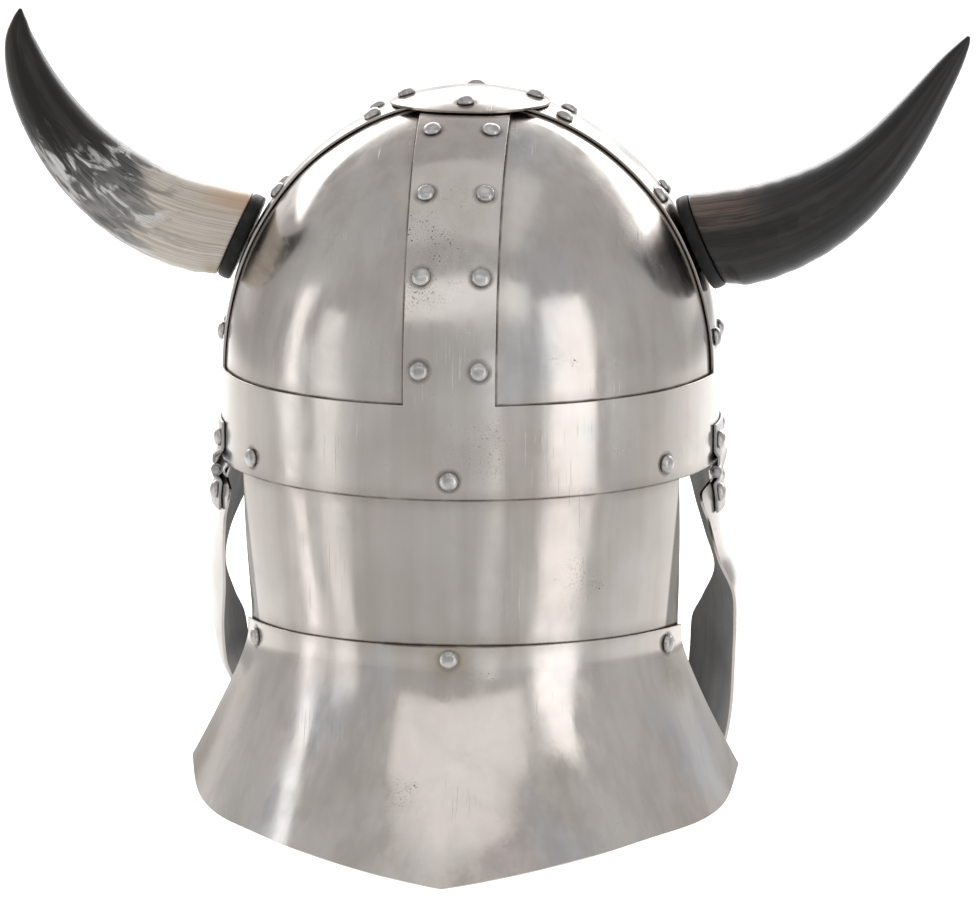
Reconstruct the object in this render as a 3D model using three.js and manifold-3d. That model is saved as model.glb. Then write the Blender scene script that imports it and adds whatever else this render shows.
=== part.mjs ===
// Horned spangenhelm: a riveted iron helmet with hinged cheek guards, a neck guard in two plates and two horns.
// Millimetres, +Z up. The brow faces -Y, the back +Y, and the wearer's left is +X.
// The origin is the centre of the head opening, in the plane of the brow band's lower rim.

import * as THREE from 'three';
import { mergeVertices } from 'three/addons/utils/BufferGeometryUtils.js';
import Module from 'manifold-3d';

const wasm = await Module();
wasm.setup();

// Plates
const sheet = 1.2; // thickness of every plate
const fit = 0.4; // gap between two plates that lie on each other

// Skull: the brow band is an upright oval, and the dome above it is half of an ellipsoid
const browHalfWidth = 105.5; // outside, ear to ear
const browHalfDepth = 112; // outside, brow to back
const browHeight = 39;
const domeRise = 116.5; // from the top edge of the brow band to the crown
const bandWidth = 38; // the four bands that rise from the brow band
const panelLap = 12.5; // what a dome panel hides behind a band, past the band's edge
const panelTuck = 12; // what a dome panel hides behind the brow band
const crownRadius = 34;
const crownFit = 0.5; // gap under the crown plate
const crownSlack = 0.25; // what the crown's rivets stand higher for it
const crownRings = 3;

// Rivets: a low round dome outside, a square shank, a square tail inside
const rivetHead = 8; // diameter
const rivetRise = 3;
const rivetShoulder = { across: 0.74, up: 0.62 }; // where the dome turns over, as shares of head and rise
const rivetShank = 3.6; // across its flats
const rivetTail = 5.2; // across its flats
const rivetTailRise = 0.9;
const rivetSeat = 0.25; // gap under the head
const rivetSlack = 0.45; // gap over the tail
const rivetPlay = 0.35; // gap round the shank, all the way round
const rivetPairGap = 24.6; // across a band, centre to centre
const rivetFirstAngle = 7.1; // first row above the brow band, in degrees of the dome's angle
const rivetRowAngle = 19.2; // from one row to the next
const rivetRows = 4;
const sideRivetAngles = [7.1, 39.5, 66.5]; // rows on the side bands, which leave room for the horns
const crownRivetRadius = 26.7;

// Neck guard: an upright upper plate, riveted inside the brow band, and a flared lower plate outside it
const neckTuck = 16; // what the upper plate hides behind the brow band
const neckDrop = 61; // from the rim down to the lower plate's top edge, at the back
const neckLap = 12; // what the upper plate hides behind the lower one
const neckHalfWidth = 94.8; // outside, at the foot of the upper plate
const neckTopReach = 52; // y of the upper plate's side edges at the rim
const neckFootReach = 34; // the same at its foot
const neckSideSag = 4.5; // how much lower the seam lies at the sides than at the back
const flareDrop = 93; // from the seam to the point at the back
const flareHalfWidth = 119; // outside, at the lower edge
const flareHalfDepth = 150;
const flareFootReach = 31; // y of the lower corners
const flareLap = 11; // upright stretch of the lower plate, over the upper one
const flareCurve = 1.25; // power by which the lower plate runs out below it
const neckRivetSide = 86.5; // x of the side rivets, in the rim and in the seam
const neckRivetRise = 8; // above the rim
const flareRivetDrop = 5.5; // below the seam

// Hinges of the cheek guards: straight barrels under the rim, along Y
const hingeLength = 52;
const hingeMiddle = 18; // length of the middle knuckle, which belongs to the upper leaf
const hingeGap = 0.4; // between two knuckles
const leafStandOff = 1.9; // from the pin's axis to the outer faces of the leaves
const knuckleRoom = 0.8; // what a leaf is cut back round the other leaf's knuckles
const barrelRadius = 2.6;
const barrelBore = 1.45;
const pinRadius = 1.1;
const pinHead = 1.9;
const pinHeadRise = 0.7;
const barrelDrop = 3.2; // from the rim down to the pin's axis
const leafHeight = 14; // of each leaf on its plate
const leafBend = 6; // below the pin's axis the lower leaf lies on its plate from here down
const leafFlat = 3; // above the rim the upper leaf is straight up to here, and over as much again it turns to the band
const hingeRivetSpread = 21; // from the hinge's middle to each rivet
const upperRivetRise = 10; // above the rim
const lowerRivetDrop = 9.5; // below the pin's axis
const hingeForward = { left: -5, right: 6 }; // from the helmet's middle to the hinge's middle, towards the brow

// Cheek guards
const cheekDrop = 128; // from the top edge to the lowest point
const cheekTop = 3.4; // from the pin's axis down to the top edge
const cheekReach = 64; // from the hinge's middle to the front corner
const cheekTurn = 17; // how far the front corner turns in from the plane of the hinge
const cheekTopRound = 100; // radius of the plate in plan, at the hinge
const cheekRound = 74; // the same below it

// Horns
const hornSeatAngle = 26.3; // of the dome's angle, in the plane of the side bands
const collarLength = 5.5;
const horns = {
  left: { girth: 38, reach: 91.5, rise: 95 },
  right: { girth: 41.5, reach: 109, rise: 87 },
};

// Fineness
const aroundDome = 40;
const aroundCrown = 20;
const aroundRivet = 8;
const aroundHole = 4; // holes, shanks and tails are square
const aroundHorn = 12;
const aroundBarrel = 8;
const panelColumns = 8;
const neckColumns = 14;
const cheekColumns = 6;
const leafColumns = 4;
const rowsBehindLeaf = [0.055, 0.09]; // more rows of a cheek guard where the lower leaf lies on it, shares of cheekDrop
const flareRows = 4; // below the upright stretch
const flatness = 0.002; // a corner that stands out of its face by less than this is left out

// Rows of the lower plate's bottom edge, from the back to a side: share of the way round, share of flareDrop
const flareEdge = [
  { round: 0, drop: 1 },
  { round: 0.3, drop: 0.915 },
  { round: 0.55, drop: 0.865 },
  { round: 0.8, drop: 0.85 },
  { round: 0.92, drop: 0.81 },
  { round: 1, drop: 0.7 },
];

// Sections of a cheek guard from the top down. down: share of cheekDrop. rear and front: the two edges,
// as shares of cheekReach from the hinge's middle. rearIn and frontIn: how far each edge lies inside the
// plane of the hinge, as shares of cheekTurn.
const cheekSections = {
  right: [
    { down: 0, rear: 0.38, front: -0.38, rearIn: 0.08, frontIn: 0.27 },
    { down: 0.025, rear: 0.61, front: -0.74, rearIn: 0.3, frontIn: 0.84 },
    { down: 0.13, rear: 0.52, front: -0.76, rearIn: 0.13, frontIn: 0.76 },
    { down: 0.27, rear: 0.38, front: -0.66, rearIn: -0.1, frontIn: 0.42 },
    { down: 0.39, rear: 0.24, front: -0.66, rearIn: -0.43, frontIn: 0.18 },
    { down: 0.51, rear: 0.13, front: -0.84, rearIn: -0.46, frontIn: 0.52 },
    { down: 0.59, rear: 0.08, front: -0.98, rearIn: -0.44, frontIn: 0.8 },
    { down: 0.7, rear: 0, front: -1, rearIn: -0.4, frontIn: 0.86 },
    { down: 0.82, rear: -0.07, front: -0.98, rearIn: -0.34, frontIn: 0.9 },
    { down: 0.93, rear: -0.18, front: -0.88, rearIn: -0.2, frontIn: 0.8 },
    { down: 0.985, rear: -0.33, front: -0.72, rearIn: -0.04, frontIn: 0.6 },
    { down: 1, rear: -0.46, front: -0.58, rearIn: 0.1, frontIn: 0.4 },
  ],
  left: [
    { down: 0, rear: 0.38, front: -0.38, rearIn: 0.25, frontIn: 0.1 },
    { down: 0.025, rear: 0.54, front: -0.84, rearIn: 0.38, frontIn: 0.5 },
    { down: 0.13, rear: 0.42, front: -0.86, rearIn: 0.2, frontIn: 0.22 },
    { down: 0.27, rear: 0.26, front: -0.78, rearIn: 0.08, frontIn: -0.22 },
    { down: 0.39, rear: 0.14, front: -0.78, rearIn: 0.03, frontIn: -0.36 },
    { down: 0.51, rear: 0.04, front: -0.92, rearIn: -0.05, frontIn: -0.18 },
    { down: 0.59, rear: -0.03, front: -1.04, rearIn: -0.06, frontIn: 0.01 },
    { down: 0.7, rear: -0.12, front: -1.06, rearIn: 0.02, frontIn: 0.18 },
    { down: 0.82, rear: -0.2, front: -1.04, rearIn: 0.46, frontIn: 0.79 },
    { down: 0.93, rear: -0.3, front: -0.95, rearIn: 1.02, frontIn: 1.45 },
    { down: 0.985, rear: -0.44, front: -0.8, rearIn: 1.45, frontIn: 1.74 },
    { down: 1, rear: -0.57, front: -0.68, rearIn: 1.65, frontIn: 1.8 },
  ],
};

// Stations of a horn, from the collar to the tip: shares of its reach, its rise and its girth
const hornSections = {
  left: [
    { out: 0, up: 0, girth: 1 },
    { out: 0.16, up: 0.026, girth: 1.01 },
    { out: 0.31, up: 0.07, girth: 0.99 },
    { out: 0.46, up: 0.14, girth: 0.95 },
    { out: 0.59, up: 0.228, girth: 0.89 },
    { out: 0.71, up: 0.332, girth: 0.81 },
    { out: 0.81, up: 0.45, girth: 0.72 },
    { out: 0.896, up: 0.58, girth: 0.62 },
    { out: 0.96, up: 0.715, girth: 0.5 },
    { out: 1, up: 0.86, girth: 0.33 },
    { out: 1, up: 0.955, girth: 0.15 },
    { out: 0.995, up: 1, girth: 0.03 },
  ],
  right: [
    { out: 0, up: 0, girth: 1 },
    { out: 0.135, up: 0.014, girth: 0.995 },
    { out: 0.264, up: 0.06, girth: 0.955 },
    { out: 0.387, up: 0.127, girth: 0.885 },
    { out: 0.503, up: 0.216, girth: 0.785 },
    { out: 0.609, up: 0.326, girth: 0.67 },
    { out: 0.703, up: 0.453, girth: 0.555 },
    { out: 0.785, up: 0.588, girth: 0.45 },
    { out: 0.861, up: 0.728, girth: 0.34 },
    { out: 0.935, up: 0.869, girth: 0.225 },
    { out: 0.985, up: 0.965, girth: 0.1 },
    { out: 1, up: 1, girth: 0.03 },
  ],
};

// Materials
const steel = new THREE.MeshStandardMaterial({ color: 0xb8b3b0, roughness: 0.3, metalness: 1 });
const rivetSteel = new THREE.MeshStandardMaterial({ color: 0xc8c4c2, roughness: 0.28, metalness: 1 });
const hingeSteel = new THREE.MeshStandardMaterial({ color: 0x6e6a66, roughness: 0.45, metalness: 1 });
const plugBlack = new THREE.MeshStandardMaterial({ color: 0x1c1b1a, roughness: 0.45, metalness: 0 });
const paleHorn = new THREE.MeshStandardMaterial({ color: 0xb9a88e, roughness: 0.35, metalness: 0 });
const darkHorn = new THREE.MeshStandardMaterial({ color: 0x37322e, roughness: 0.3, metalness: 0 });

const helmet = new THREE.Group();

const radians = THREE.MathUtils.degToRad;
const mix = THREE.MathUtils.lerp;
const point = (x, y, z) => new THREE.Vector3(x, y, z);
const sideSign = { left: 1, right: -1 };
const outerStack = sheet + fit; // from an outer plate's outside to the plate under it

// The closed shell of a geometry, with its corners merged and its faces pointing out
function toSolid(geometry) {
  const bare = geometry.clone();
  bare.deleteAttribute('normal');
  bare.deleteAttribute('uv');
  const merged = mergeVertices(bare, 1e-4);
  const corners = merged.getAttribute('position').array;
  const triangles = [];
  let volume = 0;
  const [a, b, c] = [point(), point(), point()];
  for (let i = 0; i < merged.index.count; i += 3) {
    const [p, q, r] = [0, 1, 2].map((k) => merged.index.getX(i + k));
    if (p === q || q === r || r === p) continue;
    triangles.push([p, q, r]);
    a.fromArray(corners, 3 * p);
    b.fromArray(corners, 3 * q);
    c.fromArray(corners, 3 * r);
    volume += a.dot(b.cross(c));
  }
  const facing = volume > 0 ? triangles : triangles.map(([p, q, r]) => [p, r, q]);
  const vertProperties = new Float32Array(corners);
  const triVerts = new Uint32Array(facing.flat());
  return new wasm.Manifold(new wasm.Mesh({ numProp: 3, vertProperties, triVerts }));
}

function addPiece(name, solid, material) {
  const { vertProperties, triVerts } = solid.asOriginal().simplify(flatness).getMesh();
  const geometry = new THREE.BufferGeometry();
  geometry.setAttribute('position', new THREE.BufferAttribute(vertProperties, 3));
  geometry.setIndex(new THREE.BufferAttribute(triVerts, 1));
  geometry.computeVertexNormals();
  const mesh = new THREE.Mesh(geometry, material);
  mesh.name = name;
  helmet.add(mesh);
}

const cutAll = (solid, tools) => tools.reduce((left, tool) => left.subtract(tool), solid);
const joinAll = (solids) => solids.reduce((sum, solid) => sum.add(solid));

// A box from its lowest and highest corner
function boxSolid(low, high) {
  const size = high.clone().sub(low);
  const geometry = new THREE.BoxGeometry(size.x, size.y, size.z);
  const middle = low.clone().add(high).multiplyScalar(0.5);
  return toSolid(geometry.translate(middle.x, middle.y, middle.z));
}

// A body turned round the Z axis from [radius, height] pairs that start and end on the axis
function turned(profile, sides) {
  const geometry = new THREE.LatheGeometry(profile.map(([r, h]) => new THREE.Vector2(r, h)), sides);
  return geometry.rotateX(Math.PI / 2);
}

// The same, stood at a place with its axis along a direction
function turnedAt(profile, sides, at, along) {
  const upright = new THREE.Quaternion().setFromUnitVectors(point(0, 0, 1), along);
  return toSolid(turned(profile, sides).applyQuaternion(upright).translate(at.x, at.y, at.z));
}

const rod = (radius, low, high, sides, at, along) =>
  turnedAt([[0, low], [radius, low], [radius, high], [0, high]], sides, at, along);

// A place on a face over u and v, with the direction straight out of it, away from the helmet's upright axis
function onFace(face, u, v) {
  const step = 1e-3;
  const at = face(u, v);
  const across = face(u + step, v).sub(face(u - step, v));
  const down = face(u, v + step).sub(face(u, v - step));
  const out = across.cross(down).normalize();
  if (out.x * at.x + out.y * at.y < 0) out.negate();
  return { at, out };
}

// A plate from a function that gives its outer face over u and v, both 0 to 1, made thick inwards
function plateSolid(face, columns, rows) {
  const corners = [];
  for (const depth of [0, sheet]) {
    for (const v of rows) {
      for (const u of columns) {
        const { at, out } = onFace(face, u, v);
        corners.push(...at.addScaledVector(out, -depth).toArray());
      }
    }
  }
  const wide = columns.length;
  const high = rows.length;
  const index = (i, j, inner) => inner * wide * high + j * wide + i;
  const triangles = [];
  const quad = (a, b, c, d) => triangles.push(a, b, c, a, c, d);
  for (let j = 0; j < high - 1; j += 1) {
    for (let i = 0; i < wide - 1; i += 1) {
      quad(index(i, j, 0), index(i, j + 1, 0), index(i + 1, j + 1, 0), index(i + 1, j, 0));
      quad(index(i, j, 1), index(i + 1, j, 1), index(i + 1, j + 1, 1), index(i, j + 1, 1));
    }
    quad(index(0, j, 0), index(0, j, 1), index(0, j + 1, 1), index(0, j + 1, 0));
    quad(index(wide - 1, j, 0), index(wide - 1, j + 1, 0), index(wide - 1, j + 1, 1), index(wide - 1, j, 1));
  }
  for (let i = 0; i < wide - 1; i += 1) {
    quad(index(i, 0, 0), index(i + 1, 0, 0), index(i + 1, 0, 1), index(i, 0, 1));
    quad(index(i, high - 1, 0), index(i, high - 1, 1), index(i + 1, high - 1, 1), index(i + 1, high - 1, 0));
  }
  const geometry = new THREE.BufferGeometry();
  geometry.setAttribute('position', new THREE.Float32BufferAttribute(corners, 3));
  geometry.setIndex(triangles);
  return toSolid(geometry);
}

const spread = (count, low = 0, high = 1) =>
  Array.from({ length: count + 1 }, (_, i) => mix(low, high, i / count));

// Reads one column of a table at a place between its rows, on a smooth curve through them
function readTable(rows, place, column, at) {
  const last = rows.length - 1;
  let i = rows.findIndex((row) => row[place] > at) - 1;
  if (i < 0) i = at <= rows[0][place] ? 0 : last - 1;
  const [from, to] = [rows[i], rows[i + 1]];
  const gap = to[place] - from[place];
  const slope = (k) => {
    const [low, high] = [rows[Math.max(k - 1, 0)], rows[Math.min(k + 1, last)]];
    return (high[column] - low[column]) / (high[place] - low[place]);
  };
  const t = THREE.MathUtils.clamp((at - from[place]) / gap, 0, 1);
  const rise = 3 * t * t - 2 * t * t * t;
  const lead = t * (1 - t) * (1 - t) * gap * slope(i);
  const tail = t * t * (1 - t) * gap * slope(i + 1);
  return mix(from[column], to[column], rise) + lead - tail;
}

// The dome's flat facets: their edges up the dome lie midway between the rivet rows and on each side of them
const facetTurn = (2 * Math.PI) / aroundDome;
const facetRise = rivetRowAngle / 2;
const facetAngles = [0];
for (let angle = rivetFirstAngle - facetRise / 2; angle < 90 - facetRise; angle += facetRise) {
  facetAngles.push(angle);
}
facetAngles.push(90);

// The place on the dome's facets in a direction given on the unit ball, with the direction straight out of it
function onFacet(unit) {
  const angle = THREE.MathUtils.radToDeg(Math.asin(unit.z));
  const row = facetAngles.findIndex((edge) => edge > angle);
  const [low, high] = [radians(facetAngles[row - 1]), radians(facetAngles[row])];
  const share = Math.atan2(unit.y, unit.x) / facetTurn;
  const onEdge = Math.abs(share - Math.round(share)) < 1e-6;
  const turn = (onEdge ? share : Math.floor(share) + 0.5) * facetTurn;
  const level = Math.cos((low + high) / 2) / (onEdge ? 1 : Math.cos(facetTurn / 2));
  const face = point(level * Math.cos(turn), level * Math.sin(turn), Math.sin((low + high) / 2));
  const ball = unit.clone().multiplyScalar(Math.cos((high - low) / 2) / face.dot(unit));
  const semi = point(browHalfWidth, browHalfDepth, domeRise);
  const at = ball.multiply(semi);
  return { at: at.setZ(at.z + browHeight), out: face.divide(semi).normalize() };
}

// A place on the outside of the dome, across the middle of one of its bands
function onDome(across, angle, facing) {
  const up = Math.sin(radians(angle));
  const alongY = facing === 'back' || facing === 'front';
  const aside = across / (alongY ? browHalfWidth : browHalfDepth);
  const sign = facing === 'back' || facing === 'left' ? 1 : -1;
  const out = sign * Math.sqrt(1 - up * up - aside * aside);
  return onFacet(alongY ? point(aside, out, up) : point(out, aside, up));
}

// A place on the outside of an upright oval
function onOval(x, halfWidth, halfDepth, z) {
  const y = halfDepth * Math.sqrt(1 - (x / halfWidth) ** 2);
  const out = point(x / halfWidth ** 2, y / halfDepth ** 2, 0).normalize();
  return { at: point(x, y, z), out };
}

// The y of a place on the brow band's side gives its x
const browSide = (y) => browHalfWidth * Math.sqrt(1 - (y / browHalfDepth) ** 2);

// Rivets. Both plates that a rivet holds are as thick as the other, so all rivets are alike.
const rivetGrip = 2 * sheet + fit + rivetSlack;
const headProfile = [
  [0, rivetSeat],
  [rivetHead / 2, rivetSeat],
  [(rivetHead / 2) * rivetShoulder.across, rivetSeat + rivetRise * rivetShoulder.up],
  [0, rivetSeat + rivetRise],
];
const toCorner = 1 / Math.cos(Math.PI / aroundHole); // from a square's flat to its corner
const shankProfile = [
  [0, -rivetGrip - rivetTailRise],
  [(rivetTail / 2) * toCorner, -rivetGrip - rivetTailRise],
  [(rivetShank / 2) * toCorner, -rivetGrip],
  [(rivetShank / 2) * toCorner, rivetSeat + rivetRise / 3],
  [0, rivetSeat + rivetRise / 3],
];
const rivetSolid = ({ at, out }) =>
  turnedAt(headProfile, aroundRivet, at, out).add(turnedAt(shankProfile, aroundHole, at, out));
const holeReach = 6; // how far a hole's cutting body reaches inwards, and half as far outwards
const holeRadius = (rivetShank / 2 + rivetPlay) * toCorner;
const holeAt = ({ at, out }) => rod(holeRadius, -holeReach, holeReach / 2, aroundHole, at, out);

function bandRivets(facing) {
  const onSide = facing === 'left' || facing === 'right';
  const rows = Array.from({ length: rivetRows }, (_, row) => rivetFirstAngle + row * rivetRowAngle);
  return (onSide ? sideRivetAngles : rows).flatMap((angle) =>
    [-1, 1].map((hand) => onDome((hand * rivetPairGap) / 2, angle, facing)));
}

const facings = ['back', 'front', 'left', 'right'];
const bandSpots = Object.fromEntries(facings.map((facing) => [facing, bandRivets(facing)]));
const crownSpots = facings.map((facing) => {
  const half = facing === 'back' || facing === 'front' ? browHalfDepth : browHalfWidth;
  const angle = THREE.MathUtils.radToDeg(Math.acos(crownRivetRadius / half));
  const { at, out } = onDome(0, angle, facing);
  return { at: at.addScaledVector(out, crownFit + sheet + crownSlack), out };
});
const browNeckSpots = [neckRivetSide, 0, -neckRivetSide].map((x) =>
  onOval(x, browHalfWidth, browHalfDepth, neckRivetRise));

// Skull
function domeSolid(inset, low) {
  const wide = browHalfWidth - inset;
  const profile = [[0, low], [wide, low]];
  for (const angle of facetAngles) {
    const rise = (domeRise - inset) * Math.sin(radians(angle));
    profile.push([angle === 90 ? 0 : wide * Math.cos(radians(angle)), browHeight + rise]);
  }
  const oval = turned(profile, aroundDome);
  return toSolid(oval.scale(1, (browHalfDepth - inset) / wide, 1));
}

const below = 10; // how far a cutting body reaches past the face that it cuts
const farOut = 200; // past the widest part of the skull
const quarters = {
  back_left: [1, 1],
  back_right: [-1, 1],
  front_left: [1, -1],
  front_right: [-1, -1],
};

// The part of one quarter of the helmet past a given distance from both middle planes
function quarterBox([signX, signY], edge, low) {
  const high = browHeight + domeRise + below;
  const xs = [signX * edge, signX * farOut].sort((p, q) => p - q);
  const ys = [signY * edge, signY * farOut].sort((p, q) => p - q);
  return boxSolid(point(xs[0], ys[0], low), point(xs[1], ys[1], high));
}

// Rows of a dome panel, from its hidden foot behind the brow band to its hidden top under the crown plate
const panelDrops = [-panelTuck, ...facetAngles.slice(1, -1)];

// Outer face of a dome panel. u runs from the side band to the front or back band, v from the foot up.
const panelFace = ([signX, signY]) => (u, v) => {
  const place = THREE.MathUtils.clamp(v, 0, 1) * (panelDrops.length - 1);
  const row = Math.min(Math.floor(place), panelDrops.length - 2);
  const drop = mix(panelDrops[row], panelDrops[row + 1], place - row);
  const angle = radians(Math.max(drop, 0));
  const wide = (browHalfWidth - outerStack) * Math.cos(angle);
  const deep = (browHalfDepth - outerStack) * Math.cos(angle);
  const edge = bandWidth / 2 - panelLap;
  const turn = mix(Math.asin(edge / deep), Math.acos(edge / wide), u);
  const z = browHeight + Math.min(drop, 0) + (domeRise - outerStack) * Math.sin(angle);
  return point(signX * wide * Math.cos(turn), signY * deep * Math.sin(turn), z);
};

function addSkull() {
  const windows = Object.values(quarters).map((signs) => quarterBox(signs, bandWidth / 2, browHeight));
  const shell = domeSolid(0, 0).subtract(domeSolid(sheet, -below));
  const spots = [...Object.values(bandSpots).flat(), ...crownSpots, ...browNeckSpots, ...hingeUpperSpots];
  addPiece('spangen_frame', cutAll(shell, [...windows, ...spots.map(holeAt)]), steel);

  const holes = Object.values(bandSpots).flat();
  for (const [name, signs] of Object.entries(quarters)) {
    const rows = panelDrops.map((_, i) => i / (panelDrops.length - 1));
    const panel = plateSolid(panelFace(signs), spread(panelColumns), rows);
    const own = holes.filter(({ at }) => at.x * signs[0] > 0 && at.y * signs[1] > 0);
    addPiece(`dome_panel_${name}`, cutAll(panel, own.map(holeAt)), steel);
  }

  // The crown plate lies on the crossing of the bands
  const capArc = (lift) => {
    const wide = browHalfWidth + lift;
    const edge = Math.acos(crownRadius / wide);
    return spread(crownRings, edge, Math.PI / 2).map((angle, i) =>
      [i === crownRings ? 0 : wide * Math.cos(angle), browHeight + (domeRise + lift) * Math.sin(angle)]);
  };
  const capProfile = [...capArc(crownFit).reverse(), ...capArc(crownFit + sheet)];
  const cap = turned(capProfile, aroundCrown).scale(1, browHalfDepth / browHalfWidth, 1);
  addPiece('crown_plate', cutAll(toSolid(cap), crownSpots.map(holeAt)), steel);
}

// Neck guard. u runs from the right side edge to the left one, v from the top down.
const neckInset = outerStack;
function neckFace(u, v) {
  const z = mix(neckTuck, -neckDrop - neckSideSag - neckLap, v);
  const narrowing = THREE.MathUtils.clamp(-z / neckDrop, 0, 1);
  const halfWidth = mix(browHalfWidth - neckInset, neckHalfWidth, narrowing);
  const halfDepth = browHalfDepth - neckInset;
  const reach = mix(neckTopReach, neckFootReach, narrowing);
  const turn = (2 * u - 1) * Math.acos(reach / halfDepth);
  return point(halfWidth * Math.sin(turn), halfDepth * Math.cos(turn), z);
}

// The lower plate's seam and bottom edge drop by a table, the same on both sides
function flareFace(u, v) {
  const round = Math.abs(2 * u - 1);
  const top = -neckDrop - neckSideSag * round * round;
  const foot = -neckDrop - flareDrop * readTable(flareEdge, 'round', 'drop', Math.min(round, 1));
  const z = mix(top, foot, v);
  const past = Math.max(0, (v * flareDrop - flareLap) / (flareDrop - flareLap));
  const bell = past ** flareCurve;
  const halfWidth = mix(neckHalfWidth + outerStack, flareHalfWidth, bell);
  const halfDepth = mix(browHalfDepth - neckInset + outerStack, flareHalfDepth, bell);
  const reach = mix(neckFootReach, flareFootReach, v);
  const turn = (2 * u - 1) * Math.acos(reach / halfDepth);
  return point(halfWidth * Math.sin(turn), halfDepth * Math.cos(turn), z);
}

function flareSpot(x) {
  const halfWidth = neckHalfWidth + outerStack;
  const halfDepth = browHalfDepth - neckInset + outerStack;
  const sag = neckSideSag * Math.abs(x / neckRivetSide);
  return onOval(x, halfWidth, halfDepth, -neckDrop - sag - flareRivetDrop);
}
const flareSpots = [neckRivetSide, 0, -neckRivetSide].map(flareSpot);

// Both plates share their columns, so that their flat facets lie on each other
const guardColumns = [0, 0.04, ...spread(neckColumns - 4, 0.1, 0.9), 0.96, 1];

function addNeckGuard() {
  const neckRows = [0, neckTuck, neckTuck + neckDrop / 2, neckTuck + neckDrop];
  const neckHeight = neckTuck + neckDrop + neckSideSag + neckLap;
  const neckShares = [...neckRows.map((drop) => drop / neckHeight), 1];
  const neck = plateSolid(neckFace, guardColumns, neckShares);
  addPiece('neck_plate', cutAll(neck, [...browNeckSpots, ...flareSpots].map(holeAt)), steel);
  const flareShares = [0, flareLap / flareDrop, ...spread(flareRows, 0.3, 1)];
  const flare = plateSolid(flareFace, guardColumns, flareShares);
  addPiece('neck_flare', cutAll(flare, flareSpots.map(holeAt)), steel);
}

// Hinges and cheek guards
const pinZ = -barrelDrop;
const hingeY = { left: -hingeForward.left, right: -hingeForward.right };
const leafOuter = browHalfWidth + outerStack; // x of both leaves' outer faces, at the barrel
const pinX = leafOuter - leafStandOff;

// Outer face of a cheek guard. u runs from the rear edge to the front edge, v from the top down.
function cheekFace(side) {
  const rows = cheekSections[side];
  const read = (column, v) => readTable(rows, 'down', column, v);
  return (u, v) => {
    const [rearY, frontY] = [read('rear', v) * cheekReach, read('front', v) * cheekReach];
    const [rearIn, frontIn] = [read('rearIn', v) * cheekTurn, read('frontIn', v) * cheekTurn];
    const round = mix(cheekTopRound, cheekRound, THREE.MathUtils.smoothstep(v, 0.1, 0.4));
    const bulge = (rearY - frontY) ** 2 / (8 * round);
    const out = browHalfWidth - mix(rearIn, frontIn, u) + 4 * bulge * u * (1 - u);
    return point(sideSign[side] * out, hingeY[side] + mix(rearY, frontY, u), pinZ - cheekTop - v * cheekDrop);
  };
}

// The place on a cheek guard's outer face at a given y and drop below the pin, found by halving
function cheekAt(side, y, drop) {
  const face = cheekFace(side);
  const v = (drop - cheekTop) / cheekDrop;
  let [low, high] = [0, 1];
  for (let i = 0; i < 30; i += 1) {
    const middle = (low + high) / 2;
    if (face(middle, v).y > y) low = middle;
    else high = middle;
  }
  return onFace(face, low, v);
}

function cheekSpot(side, hand) {
  const { at, out } = cheekAt(side, hingeY[side] + hand * hingeRivetSpread, lowerRivetDrop);
  return { at: at.addScaledVector(out, outerStack), out };
}

function upperSpot(side, hand) {
  const y = hingeY[side] + hand * hingeRivetSpread;
  const x = sideSign[side] * browSide(y);
  const out = point(x / browHalfWidth ** 2, y / browHalfDepth ** 2, 0).normalize();
  return { at: point(x, y, upperRivetRise).addScaledVector(out, outerStack), out };
}
const hands = [-1, 1];
const hingeUpperSpots = ['left', 'right'].flatMap((side) => hands.map((hand) => upperSpot(side, hand)));

function barrel(side, from, to, radius) {
  const at = point(sideSign[side] * pinX, hingeY[side], pinZ);
  return rod(radius, from, to, aroundBarrel, at, point(0, 1, 0));
}

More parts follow.
